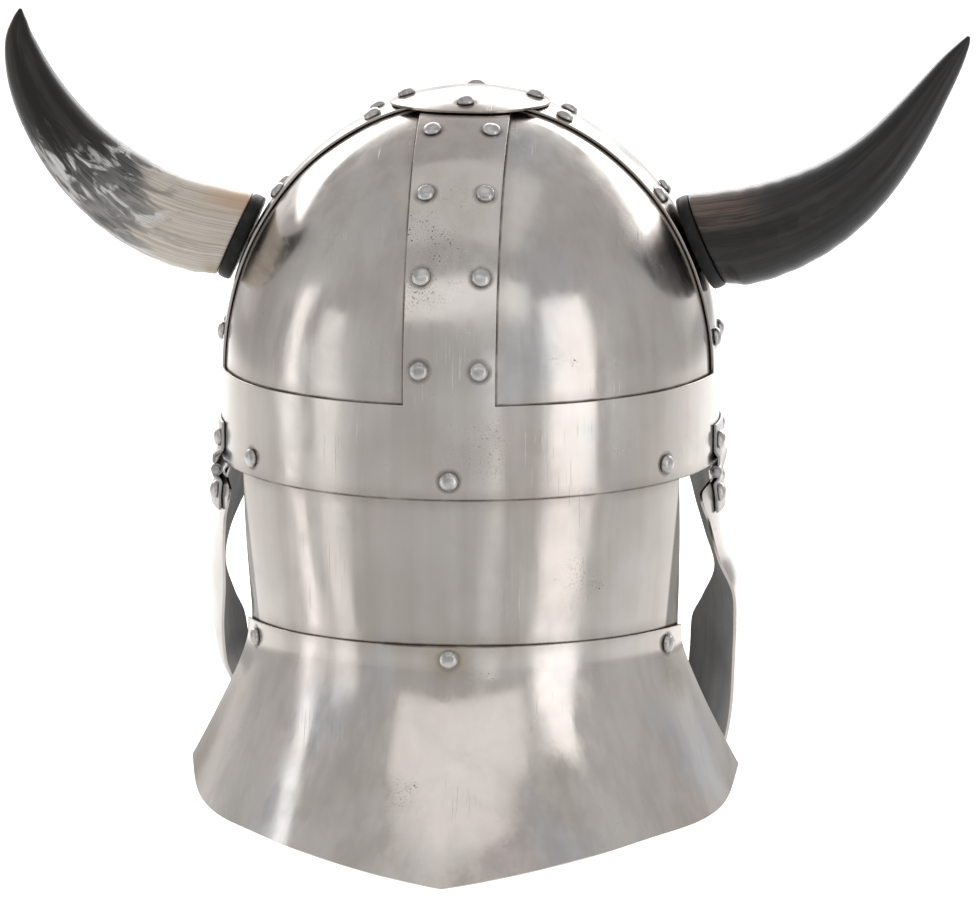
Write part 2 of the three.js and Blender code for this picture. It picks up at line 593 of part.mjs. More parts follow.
function addHinge(side) {
  const sign = sideSign[side];
  const half = hingeLength / 2;
  const middle = hingeMiddle / 2;
  const bore = barrel(side, -half - below, half + below, barrelBore);
  const room = barrelRadius + knuckleRoom;
  const columns = spread(leafColumns);
  const alongY = (u) => hingeY[side] + mix(half, -half, u);

  // Upper leaf: straight along the barrel, then round the brow band
  const leafRows = [0, leafFlat + barrelDrop, 2 * leafFlat + barrelDrop, barrelDrop + leafHeight + leafFlat];
  const leafTop = leafRows[leafRows.length - 1];
  const upperFace = (u, v) => {
    const z = pinZ + v * leafTop;
    const bent = THREE.MathUtils.smoothstep(z, leafFlat, 2 * leafFlat);
    const out = mix(leafOuter, browSide(alongY(u)) + outerStack, bent);
    return point(sign * out, alongY(u), z);
  };
  const upperPlate = plateSolid(upperFace, columns, leafRows.map((z) => z / leafTop));
  const outerRooms = [-1, 1].map((hand) => {
    const [from, to] = [hand * middle, hand * (half + below)].sort((p, q) => p - q);
    return barrel(side, from, to, room);
  });
  const upperRivets = hands.map((hand) => rivetSolid(upperSpot(side, hand)));
  const knuckle = barrel(side, -middle, middle, barrelRadius);
  const upper = cutAll(joinAll([cutAll(upperPlate, outerRooms), knuckle]), [bore]);
  addPiece(`hinge_upper_leaf_${side}`, joinAll([upper, ...upperRivets]), hingeSteel);

  // Lower leaf: straight along the barrel, then down the outside of the cheek guard
  const lowerFoot = cheekTop + leafHeight;
  const lowerFace = (u, v) => {
    const drop = v * lowerFoot;
    const { at, out } = cheekAt(side, alongY(u), Math.max(drop, cheekTop));
    const onPlate = sign * at.x + outerStack / Math.abs(out.x);
    const bent = THREE.MathUtils.smoothstep(drop, barrelRadius, leafBend);
    return point(sign * mix(leafOuter, onPlate, bent), alongY(u), pinZ - drop);
  };
  const lowerRows = [0, barrelRadius, leafBend, (leafBend + lowerFoot) / 2, lowerFoot].map((drop) => drop / lowerFoot);
  const lowerPlate = plateSolid(lowerFace, columns, lowerRows);
  const middleRoom = barrel(side, -middle - hingeGap, middle + hingeGap, room);
  const outerKnuckles = [-1, 1].map((hand) => {
    const [from, to] = [hand * (middle + hingeGap), hand * half].sort((p, q) => p - q);
    return barrel(side, from, to, barrelRadius);
  });
  const lowerRivets = hands.map((hand) => rivetSolid(cheekSpot(side, hand)));
  const lower = cutAll(joinAll([lowerPlate, ...outerKnuckles]), [middleRoom, bore]);
  addPiece(`hinge_lower_leaf_${side}`, joinAll([lower, ...lowerRivets]), hingeSteel);

  const end = half + fit;
  const pinProfile = [
    [0, -end - pinHeadRise],
    [pinHead, -end - pinHeadRise],
    [pinHead, -end],
    [pinRadius, -end],
    [pinRadius, end],
    [pinHead, end],
    [pinHead, end + pinHeadRise],
    [0, end + pinHeadRise],
  ];
  const pinAt = point(sign * pinX, hingeY[side], pinZ);
  addPiece(`hinge_pin_${side}`, turnedAt(pinProfile, aroundBarrel, pinAt, point(0, 1, 0)), hingeSteel);
}

function addCheekGuard(side) {
  const rows = cheekSections[side].map((row) => row.down);
  rows.splice(2, 0, ...rowsBehindLeaf);
  const plate = plateSolid(cheekFace(side), spread(cheekColumns), rows);
  const holes = hands.map((hand) => holeAt(cheekSpot(side, hand)));
  addPiece(`cheek_guard_${side}`, cutAll(plate, holes), steel);
}

// Horns: a black plug stands on the band, and the horn follows it with the same girth
function hornCurve(side) {
  const { reach, rise } = horns[side];
  const sign = sideSign[side];
  const { at, out } = onDome(0, hornSeatAngle, side);
  const foot = at.clone().addScaledVector(out, fit + collarLength + fit);
  const stations = hornSections[side].map((row) => ({
    at: point(foot.x + sign * row.out * reach, 0, foot.z + row.up * rise),
    radius: (row.girth * horns[side].girth) / 2,
  }));
  return { seat: at, out, stations };
}

function addHorn(side, material) {
  const { seat, out, stations } = hornCurve(side);
  const collarRadius = horns[side].girth / 2;
  addPiece(`horn_collar_${side}`, rod(collarRadius, fit, fit + collarLength, aroundHorn, seat, out), plugBlack);

  // Each ring stands square to the horn's middle line, and the first lies flat on the plug
  const last = stations.length - 1;
  const corners = [];
  stations.forEach(({ at, radius }, k) => {
    const before = stations[Math.max(k - 1, 0)].at;
    const after = stations[Math.min(k + 1, last)].at;
    const along = k === 0 ? out.clone() : after.clone().sub(before).normalize();
    const up = point(0, 1, 0).cross(along).normalize();
    for (let i = 0; i < aroundHorn; i += 1) {
      const angle = (2 * Math.PI * i) / aroundHorn;
      const corner = at.clone().addScaledVector(up, radius * Math.cos(angle));
      corners.push(corner.x, corner.y + radius * Math.sin(angle), corner.z);
    }
  });
  const [first, tip] = [corners.length / 3, corners.length / 3 + 1];
  corners.push(...stations[0].at.toArray(), ...stations[last].at.toArray());
  const triangles = [];
  for (let i = 0; i < aroundHorn; i += 1) {
    const next = (i + 1) % aroundHorn;
    for (let k = 0; k < last; k += 1) {
      const [low, high] = [k * aroundHorn, (k + 1) * aroundHorn];
      triangles.push(low + i, low + next, high + next, low + i, high + next, high + i);
    }
    triangles.push(first, next, i, tip, last * aroundHorn + i, last * aroundHorn + next);
  }
  const geometry = new THREE.BufferGeometry();
  geometry.setAttribute('position', new THREE.Float32BufferAttribute(corners, 3));
  geometry.setIndex(triangles);
  addPiece(`horn_${side}`, toSolid(geometry), material);
}

function addRivets() {
  const groups = { crown: crownSpots, neck: browNeckSpots, flare: flareSpots };
  for (const facing of facings) groups[`${facing}_band`] = bandSpots[facing];
  for (const [name, spots] of Object.entries(groups)) {
    spots.forEach((spot, i) => addPiece(`rivet_${name}_${i + 1}`, rivetSolid(spot), rivetSteel));
  }
}

addSkull();
addNeckGuard();
addHinge('left');
addHinge('right');
addCheekGuard('left');
addCheekGuard('right');
addHorn('left', paleHorn);
addHorn('right', darkHorn);
addRivets();

export default helmet;
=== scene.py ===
# Looks of the horned spangenhelm, in the frame of its CAD model.
# Sizes are in millimetres until a mesh is made. A size with _M in its name is in metres.
import math

import bpy
import numpy as np
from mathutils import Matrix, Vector


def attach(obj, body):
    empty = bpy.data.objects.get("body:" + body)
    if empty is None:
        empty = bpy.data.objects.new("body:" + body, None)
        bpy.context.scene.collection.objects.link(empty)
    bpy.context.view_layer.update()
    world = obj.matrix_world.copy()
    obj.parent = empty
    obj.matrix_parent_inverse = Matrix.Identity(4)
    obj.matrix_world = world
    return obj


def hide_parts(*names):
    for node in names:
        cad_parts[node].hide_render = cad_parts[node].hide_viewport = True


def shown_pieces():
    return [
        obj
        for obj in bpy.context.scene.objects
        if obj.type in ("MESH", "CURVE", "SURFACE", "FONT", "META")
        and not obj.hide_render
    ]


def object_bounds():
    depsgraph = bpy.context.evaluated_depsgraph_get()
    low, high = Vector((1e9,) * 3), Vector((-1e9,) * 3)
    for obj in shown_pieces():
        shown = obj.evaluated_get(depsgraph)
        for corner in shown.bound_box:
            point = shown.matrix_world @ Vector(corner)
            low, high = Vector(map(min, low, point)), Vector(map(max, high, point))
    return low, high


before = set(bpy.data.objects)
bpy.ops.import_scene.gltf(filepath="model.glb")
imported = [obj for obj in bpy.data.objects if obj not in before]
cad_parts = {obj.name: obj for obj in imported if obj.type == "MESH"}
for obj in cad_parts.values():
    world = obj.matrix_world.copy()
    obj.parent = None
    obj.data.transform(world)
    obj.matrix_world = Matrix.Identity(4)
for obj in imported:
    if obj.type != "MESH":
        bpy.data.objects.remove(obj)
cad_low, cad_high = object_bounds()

MM = 0.001
scene = bpy.context.scene
SEED = 7
AROUND = 6.28
rng = np.random.default_rng(SEED)

# Sizes, the same as the part's own
SHEET = 1.2
FIT = 0.4
STACK = SHEET + FIT
BROW = np.array([105.5, 112.0])
BROW_HIGH = 39.0
RISE = 116.5
BAND = 38.0
PANEL_LAP = 12.5
PANEL_TUCK = 12.0
PANEL_TOP_DEGREES = 78.7
CROWN_RADIUS = 34.0
CROWN_FIT = 0.5
CROWN_INNERMOST = 0.8
RIVET_HEAD = 8.0
RIVET_RISE = 3.0
RIVET_SHANK = 3.6
RIVET_TAIL = 5.2
RIVET_TAIL_RISE = 0.9
RIVET_SEAT = 0.1
RIVET_PAIR = 24.6
RIVET_FIRST = 7.1
RIVET_ROW = 19.2
SIDE_ROWS = (7.1, 39.5, 66.5)
CROWN_RIVET = 26.7
NECK_TUCK = 16.0
NECK_DROP = 61.0
NECK_LAP = 12.0
NECK_HALF = 94.8
NECK_TOP = 52.0
NECK_FOOT = 34.0
SEAM_SAG = 4.5
FLARE_DROP = 93.0
FLARE_HALF = (119.0, 150.0)
FLARE_FOOT = 31.0
FLARE_LAP = 11.0
FLARE_CURVE = 1.25
NECK_RIVET = 86.5
NECK_RIVET_RISE = 8.0
FLARE_RIVET_DROP = 5.5
HINGE_LONG = 52.0
HINGE_MIDDLE = 18.0
HINGE_GAP = 0.4
STAND_OFF = 1.9
KNUCKLE_ROOM = 0.8
BARREL = 2.6
PIN = 1.1
PIN_HEAD = 1.9
PIN_HEAD_RISE = 0.7
BARREL_DROP = 3.2
LEAF_HIGH = 14.0
LEAF_BEND = 6.0
LEAF_FLAT = 3.0
HINGE_RIVET = 21.0
UPPER_RIVET = 10.0
LOWER_RIVET = 9.5
HINGE_Y = {"left": 5.0, "right": -6.0}
CHEEK_DROP = 128.0
CHEEK_TOP = 3.4
CHEEK_REACH = 64.0
CHEEK_TURN = 17.0
CHEEK_TOP_ROUND = 100.0
CHEEK_ROUND = 74.0
HORN_SEAT = 26.3
PLUG = 5.5
HORNS = {"left": (38.0, 91.5, 95.0), "right": (41.5, 109.0, 87.0)}
SIGN = {"left": 1.0, "right": -1.0}

# How uneven and how rounded the hand-worked plate is
UNEVEN = 0.3
CHEEK_UNEVEN = 0.25
WAVE_LENGTHS = (70, 55, 90, 38, 30)
WAVES_EACH = 3
EDGE_ROUND = 0.32
LEAF_ROUND = 0.3
KNUCKLE_ROUND = 0.15
KNUCKLE_EASE = 0.35
LEAF_INTO_KNUCKLE = 1.4
LEAF_OVERLAP = 0.3
PIN_RIM = 0.25
RIVET_TILT = 0.02
RIVET_SMALLEST = 0.95
DENT = 0.05
PLUG_EASE = 0.6
PLUG_BULGE = 0.25
HORN_SIDES = 72

# Where the strips in shade at the upper neck plate's ends begin, and how they widen and fade
NECK_END_M = 0.0912
NECK_END_WIDER_M = 0.0057
NECK_END_FADE_M = 0.0009

# Studio
FLOOR_DROP_M = 0.55
FLOOR_REACH_M = 45.0
FLOOR_CORNERS = 96
VIEW_TURN, VIEW_LIFT, VIEW_AWAY_M = 184.7, 9, 3.0
VIEW_TARGET_M = (0, 0, 0.06)
VIEW_LENS = 260.2
VIEW_SHIFT = (0.0189, -0.139)

FLARE_EDGE = ([0, 0.3, 0.55, 0.8, 0.92, 1], [1, 0.915, 0.865, 0.85, 0.81, 0.7])

# Rows of a cheek guard: down, rear, front, rear in, front in
CHEEKS = {
    "right": [
        (0, 0.38, -0.38, 0.08, 0.27),
        (0.025, 0.61, -0.74, 0.3, 0.84),
        (0.13, 0.52, -0.76, 0.13, 0.76),
        (0.27, 0.38, -0.66, -0.1, 0.42),
        (0.39, 0.24, -0.66, -0.43, 0.18),
        (0.51, 0.13, -0.84, -0.46, 0.52),
        (0.59, 0.08, -0.98, -0.44, 0.8),
        (0.7, 0, -1, -0.4, 0.86),
        (0.82, -0.07, -0.98, -0.34, 0.9),
        (0.93, -0.18, -0.88, -0.2, 0.8),
        (0.985, -0.33, -0.72, -0.04, 0.6),
        (1, -0.46, -0.58, 0.1, 0.4),
    ],
    "left": [
        (0, 0.38, -0.38, 0.25, 0.1),
        (0.025, 0.54, -0.84, 0.38, 0.5),
        (0.13, 0.42, -0.86, 0.2, 0.22),
        (0.27, 0.26, -0.78, 0.08, -0.22),
        (0.39, 0.14, -0.78, 0.03, -0.36),
        (0.51, 0.04, -0.92, -0.05, -0.18),
        (0.59, -0.03, -1.04, -0.06, 0.01),
        (0.7, -0.12, -1.06, 0.02, 0.18),
        (0.82, -0.2, -1.04, 0.46, 0.79),
        (0.93, -0.3, -0.95, 1.02, 1.45),
        (0.985, -0.44, -0.8, 1.45, 1.74),
        (1, -0.57, -0.68, 1.65, 1.8),
    ],
}

# Stations of a horn: out, up, girth
HORN_ROWS = {
    "left": [
        (0, 0, 1), (0.16, 0.026, 1.01), (0.31, 0.07, 0.99), (0.46, 0.14, 0.95),
        (0.59, 0.228, 0.89), (0.71, 0.332, 0.81), (0.81, 0.45, 0.72), (0.896, 0.58, 0.62),
        (0.96, 0.715, 0.5), (1, 0.86, 0.33), (1, 0.955, 0.15), (0.995, 1, 0.03),
    ],
    "right": [
        (0, 0, 1), (0.135, 0.014, 0.995), (0.264, 0.06, 0.955), (0.387, 0.127, 0.885),
        (0.503, 0.216, 0.785), (0.609, 0.326, 0.67), (0.703, 0.453, 0.555), (0.785, 0.588, 0.45),
        (0.861, 0.728, 0.34), (0.935, 0.869, 0.225), (0.985, 0.965, 0.1), (1, 1, 0.03),
    ],
}


# Curves and surfaces

def table(xs, ys, at):
    """A smooth curve through the rows of a table, read at one place."""
    last = len(xs) - 1
    at = min(max(at, xs[0]), xs[-1])
    i = min(int(np.searchsorted(xs, at, side="right")) - 1, last - 1)

    def slope(k):
        low, high = max(k - 1, 0), min(k + 1, last)
        return (ys[high] - ys[low]) / (xs[high] - xs[low])

    gap = xs[i + 1] - xs[i]
    t = (at - xs[i]) / gap
    rise = 3 * t * t - 2 * t ** 3
    lead = t * (1 - t) ** 2 * gap * slope(i)
    tail = t * t * (1 - t) * gap * slope(i + 1)
    return ys[i] + (ys[i + 1] - ys[i]) * rise + lead - tail


def smooth(value, low, high):
    t = min(max((value - low) / (high - low), 0.0), 1.0)
    return t * t * (3 - 2 * t)


WAVES = [(rng.normal(size=3), rng.uniform(0, AROUND), size)
         for size in WAVE_LENGTHS for _ in range(WAVES_EACH)]


def wobble(p, depth):
    """Pushes places in or out by the small unevenness of hand-worked plate.

    All layers share one field, so pieces that lie on each other move together.
    """
    p = np.asarray(p, float)
    first = WAVE_LENGTHS[0]
    level = sum(np.sin(p @ (way / np.linalg.norm(way)) * (AROUND / size) + phase) * size / first
                for way, phase, size in WAVES)
    out = p * np.array([1, 1, 0.35])
    out /= np.maximum(np.linalg.norm(out, axis=-1, keepdims=True), 1e-9)
    return p + out * (depth * level / len(WAVE_LENGTHS))[..., None]


def normal_at(face, u, v, step=1e-3):
    at = face(u, v)
    out = np.cross(face(u + step, v) - face(u - step, v), face(u, v + step) - face(u, v - step))
    out /= np.linalg.norm(out)
    return at, out if out[0] * at[0] + out[1] * at[1] > 0 else -out


def on_dome(across, angle, facing):
    """A place on the smooth skull, across the middle of a band, and the direction out of it."""
    up = math.sin(math.radians(angle))
    long_way = facing in ("back", "front")
    aside = across / (BROW[0] if long_way else BROW[1])
    out = math.sqrt(1 - up * up - aside * aside) * (1 if facing in ("back", "left") else -1)
    unit = np.array([aside, out, up] if long_way else [out, aside, up])
    semi = np.array([BROW[0], BROW[1], RISE])
    way = unit / semi
    return unit * semi + [0, 0, BROW_HIGH], way / np.linalg.norm(way)


def on_oval(x, half, z):
    y = half[1] * math.sqrt(1 - (x / half[0]) ** 2)
    way = np.array([x / half[0] ** 2, y / half[1] ** 2, 0])
    return np.array([x, y, z]), way / np.linalg.norm(way)


def brow_side(y):
    return BROW[0] * math.sqrt(1 - (y / BROW[1]) ** 2)


# Meshes

def new_object(name, verts, faces, slot, body="helmet", nodes=(), uvs=None):
    mesh = bpy.data.meshes.new(name)
    mesh.from_pydata((np.asarray(verts, float) * MM).tolist(), [], [tuple(map(int, f)) for f in faces])
    if uvs is not None:
        layer = mesh.uv_layers.new(name="UVMap")
        loops = np.empty(len(mesh.loops), int)
        mesh.loops.foreach_get("vertex_index", loops)
        layer.data.foreach_set("uv", np.asarray(uvs, float)[loops].ravel())
    mesh.polygons.foreach_set("use_smooth", [True] * len(mesh.polygons))
    mesh.update()
    obj = bpy.data.objects.new(name, mesh)
    scene.collection.objects.link(obj)
    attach(obj, body)
    if nodes:
        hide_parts(*nodes)
    return obj


def grid_faces(rows, cols, start=0, ring=False):
    faces = []
    for j in range(rows - 1):
        for i in range(cols if ring else cols - 1):
            k = (i + 1) % cols
            faces.append((start + j * cols + i, start + j * cols + k,
                          start + (j + 1) * cols + k, start + (j + 1) * cols + i))
    return faces


def turn_outwards(verts, faces):
    """Turns the faces of an open surface round if most of them point at the helmet's upright axis."""
    corners = np.asarray(verts)[np.asarray(faces)]
    out = np.cross(corners[:, 2] - corners[:, 0], corners[:, 3] - corners[:, 1])
    middle = corners.mean(axis=1) - [0, 0, 20]
    if (out * middle).sum() < 0:
        return [f[::-1] for f in faces]
    return faces


def round_edges(obj, width, segments, sharpest):
    rounding = obj.modifiers.new("edges", "BEVEL")
    rounding.width = width * MM
    rounding.segments = segments
    rounding.limit_method = "ANGLE"
    rounding.angle_limit = math.radians(sharpest)
    rounding.harden_normals = True


def thicken(obj, edge=EDGE_ROUND):
    """Gives a surface the thickness of the sheet, inwards, and rounds its edges."""
    wall = obj.modifiers.new("wall", "SOLIDIFY")
    wall.thickness = SHEET * MM
    wall.offset = -1
    wall.use_even_offset = True
    wall.material_offset = 1
    round_edges(obj, edge, 3, 50)


def join_patches(patches):
    """One mesh from several grids, with the corners that they share merged."""
    verts, faces, known = [], [], {}
    for grid in patches:
        rows, cols = grid.shape[:2]
        own = []
        for p in grid.reshape(-1, 3):
            key = tuple(np.round(p, 3))
            if key not in known:
                known[key] = len(verts)
                verts.append(p)
            own.append(known[key])
        part = [tuple(own[i] for i in f) for f in grid_faces(rows, cols)]
        part = [f for f in part if len(set(f)) == 4]
        faces += turn_outwards(verts, part)
    return np.array(verts), faces


def plate(name, patches, slot, body="helmet", nodes=(), depth=UNEVEN, edge=EDGE_ROUND):
    verts, faces = join_patches(patches)
    obj = new_object(name, wobble(verts, depth), faces, slot, body, nodes)
    thicken(obj, edge=edge)
    return obj


def face_grid(face, us, vs):
    return np.array([[face(u, v) for u in us] for v in vs])


def lathe(profile, sides, at, along):
    """Rings of a turned body, from its low end to its high end, about a direction."""
    along = np.asarray(along, float) / np.linalg.norm(along)
    side = np.cross(along, [0, 0, 1] if abs(along[2]) < 0.9 else [1, 0, 0])
    side /= np.linalg.norm(side)
    other = np.cross(along, side)
    angles = np.linspace(0, 2 * math.pi, sides, endpoint=False)
    rings = [[np.asarray(at) + along * h + (side * math.cos(a) + other * math.sin(a)) * r for a in angles]
             for r, h in profile]
    return np.array(rings)


def lathe_mesh(rings):
    rows, sides = rings.shape[:2]
    faces = grid_faces(rows, sides, ring=True)
    faces.append(tuple(range(sides))[::-1])
    faces.append(tuple((rows - 1) * sides + i for i in range(sides)))
    return rings.reshape(-1, 3), faces


def merge(parts):
    verts, faces = [], []
    for own, around in parts:
        faces += [tuple(i + len(verts) for i in f) for f in around]
        verts += list(own)
    return np.array(verts), faces


# Skull

def brow_point(x=None, y=None, sign=1, z=0.0):
    if x is not None:
        return np.array([x, sign * BROW[1] * math.sqrt(1 - (x / BROW[0]) ** 2), z])
    return np.array([sign * BROW[0] * math.sqrt(1 - (y / BROW[1]) ** 2), y, z])


def make_frame():
    half = BAND / 2
    across = np.linspace(-half, half, 15)
    levels = np.linspace(0, BROW_HIGH, 14)
    patches = []
    for sign in (1, -1):
        patches.append(np.array([[brow_point(x=x, sign=sign, z=z) for x in across] for z in levels]))
        patches.append(np.array([[brow_point(y=y, sign=sign, z=z) for y in across] for z in levels]))
    start = math.asin(half / BROW[1])
    end = math.acos(half / BROW[0])
    for sx in (1, -1):
        for sy in (1, -1):
            turns = np.linspace(start, end, 44)
            corner = [(sx * BROW[0] * math.cos(t), sy * BROW[1] * math.sin(t)) for t in turns]
            patches.append(np.array([[[x, y, z] for x, y in corner] for z in levels]))
    over = []
    for angle in np.linspace(0, math.pi, 121):
        row = []
        for x in across:
            k = math.sqrt(1 - (x / BROW[0]) ** 2)
            row.append([x, BROW[1] * k * math.cos(angle), BROW_HIGH + RISE * k * math.sin(angle)])
        over.append(row)
    patches.append(np.array(over))
    for sign in (1, -1):
        rows = []
        for share in np.linspace(0, 1, 48):
            row = []
            for y in across:
                k = math.sqrt(1 - (y / BROW[1]) ** 2)
                angle = share * math.acos((half + FIT) / (BROW[0] * k))
                out = sign * BROW[0] * k * math.cos(angle)
                row.append([out, y, BROW_HIGH + RISE * k * math.sin(angle)])
            rows.append(row)
        patches.append(np.array(rows))
    return plate("skull_frame", patches, "plate_steel", nodes=["spangen_frame"])


def make_panel(name, sx, sy):
    edge = BAND / 2 - PANEL_LAP
    rows = []
    drops = list(np.linspace(-PANEL_TUCK, 0, 5)) + list(np.linspace(0, PANEL_TOP_DEGREES, 46))[1:]
    for drop in drops:
        angle = math.radians(max(drop, 0))
        wide, deep = (BROW[0] - STACK) * math.cos(angle), (BROW[1] - STACK) * math.cos(angle)
        low, high = math.asin(min(edge / deep, 1)), math.acos(min(edge / wide, 1))
        z = BROW_HIGH + min(drop, 0) + (RISE - STACK) * math.sin(angle)
        turns = np.linspace(low, high, 50)
        rows.append([[sx * wide * math.cos(t), sy * deep * math.sin(t), z] for t in turns])
    return plate(f"panel_{name}", [np.array(rows)], "plate_steel", nodes=[f"dome_panel_{name}"])


def make_crown():
    lift = CROWN_FIT + SHEET
    wide = BROW[0] + lift
    scale = BROW[1] / BROW[0]
    sides = 96
    angles = np.linspace(0, 2 * math.pi, sides, endpoint=False)
    verts, faces = [], []
    radii = list(np.linspace(CROWN_RADIUS, CROWN_INNERMOST, 20))
    for r in radii:
        for a in angles:
            uneven = 1 + 0.006 * math.sin(3 * a + 1) + 0.004 * math.sin(7 * a)
            own = r * (1 + (uneven - 1) * (r / CROWN_RADIUS) ** 4)
            rise = math.sin(math.acos(min(own / wide, 1)))
            verts.append([own * math.cos(a), own * scale * math.sin(a),
                          BROW_HIGH + (RISE + lift) * rise])
    faces = grid_faces(len(radii), sides, ring=True)
    faces.append(tuple((len(radii) - 1) * sides + i for i in range(sides)))
    first = np.asarray(verts)[list(faces[0])]
    if np.cross(first[2] - first[0], first[3] - first[1])[2] < 0:
        faces = [f[::-1] for f in faces[:-1]] + [faces[-1]]
    obj = new_object("crown_disc", wobble(verts, UNEVEN), faces, "plate_steel",
                     nodes=["crown_plate"])
    thicken(obj)
    return obj


# Neck guard

def neck_face(u, v):
    z = NECK_TUCK + v * (-NECK_DROP - SEAM_SAG - NECK_LAP - NECK_TUCK)
    share = min(max(-z / NECK_DROP, 0), 1)
    half = (BROW[0] - STACK) + (NECK_HALF - BROW[0] + STACK) * share
    deep = BROW[1] - STACK
    reach = NECK_TOP + (NECK_FOOT - NECK_TOP) * share
    turn = (2 * u - 1) * math.acos(reach / deep)
    return np.array([half * math.sin(turn), deep * math.cos(turn), z])


def flare_face(u, v):
    around = min(abs(2 * u - 1), 1)
    top = -NECK_DROP - SEAM_SAG * around * around
    foot = -NECK_DROP - FLARE_DROP * table(*FLARE_EDGE, around)
    past = max(0.0, (v * FLARE_DROP - FLARE_LAP) / (FLARE_DROP - FLARE_LAP))
    bell = past ** FLARE_CURVE
    half = (NECK_HALF + STACK) * (1 - bell) + FLARE_HALF[0] * bell
    deep = BROW[1] * (1 - bell) + FLARE_HALF[1] * bell
    reach = NECK_FOOT + (FLARE_FOOT - NECK_FOOT) * v
    turn = (2 * u - 1) * math.acos(reach / deep)
    return np.array([half * math.sin(turn), deep * math.cos(turn), top + (foot - top) * v])


def make_neck():
    us = np.linspace(0, 1, 111)
    upper = face_grid(neck_face, us, np.linspace(0, 1, 34))
    lower = face_grid(flare_face, us, np.linspace(0, 1, 40))
    plate("neck_upper", [upper], "plate_steel", nodes=["neck_plate"])
    plate("neck_lower", [lower], "plate_steel", nodes=["neck_flare"])


# Hinges and cheek guards

LEAF_X = BROW[0] + STACK
PIN_X = LEAF_X - STAND_OFF
PIN_Z = -BARREL_DROP


def cheek_face(side):
    down, rear, front, rear_in, front_in = [list(column) for column in zip(*CHEEKS[side])]

    def face(u, v):
        rear_y, front_y = table(down, rear, v) * CHEEK_REACH, table(down, front, v) * CHEEK_REACH
        inner, fore = table(down, rear_in, v) * CHEEK_TURN, table(down, front_in, v) * CHEEK_TURN
        bend = CHEEK_TOP_ROUND + (CHEEK_ROUND - CHEEK_TOP_ROUND) * smooth(v, 0.1, 0.4)
        bulge = (rear_y - front_y) ** 2 / (8 * bend)
        out = BROW[0] - (inner + (fore - inner) * u) + 4 * bulge * u * (1 - u)
        y = HINGE_Y[side] + rear_y + (front_y - rear_y) * u
        return np.array([SIGN[side] * out, y, PIN_Z - CHEEK_TOP - v * CHEEK_DROP])

    return face


def cheek_at(side, y, drop):
    face = cheek_face(side)
    v = (drop - CHEEK_TOP) / CHEEK_DROP
    low, high = 0.0, 1.0
    for _ in range(20):
        middle = (low + high) / 2
        if face(middle, v)[1] > y:
            low = middle
        else:
            high = middle
    return normal_at(face, low, v)


def make_cheek(side):
    vs = np.concatenate([np.linspace(0, 0.03, 7), np.linspace(0.04, 0.95, 60),
                         np.linspace(0.956, 1, 14)])
    grid = face_grid(cheek_face(side), np.linspace(0, 1, 41), vs)
    return plate(f"cheek_{side}_plate", [grid], "plate_steel", f"cheek_{side}",
                 [f"cheek_guard_{side}"], depth=CHEEK_UNEVEN)


def upper_spot(side, hand):
    y = HINGE_Y[side] + hand * HINGE_RIVET
    x = SIGN[side] * brow_side(y)
    out = np.array([x / BROW[0] ** 2, y / BROW[1] ** 2, 0])
    out /= np.linalg.norm(out)
    return np.array([x, y, UPPER_RIVET]) + out * STACK, out


def lower_spot(side, hand):
    at, out = cheek_at(side, HINGE_Y[side] + hand * HINGE_RIVET, LOWER_RIVET)
    return at + out * STACK, out


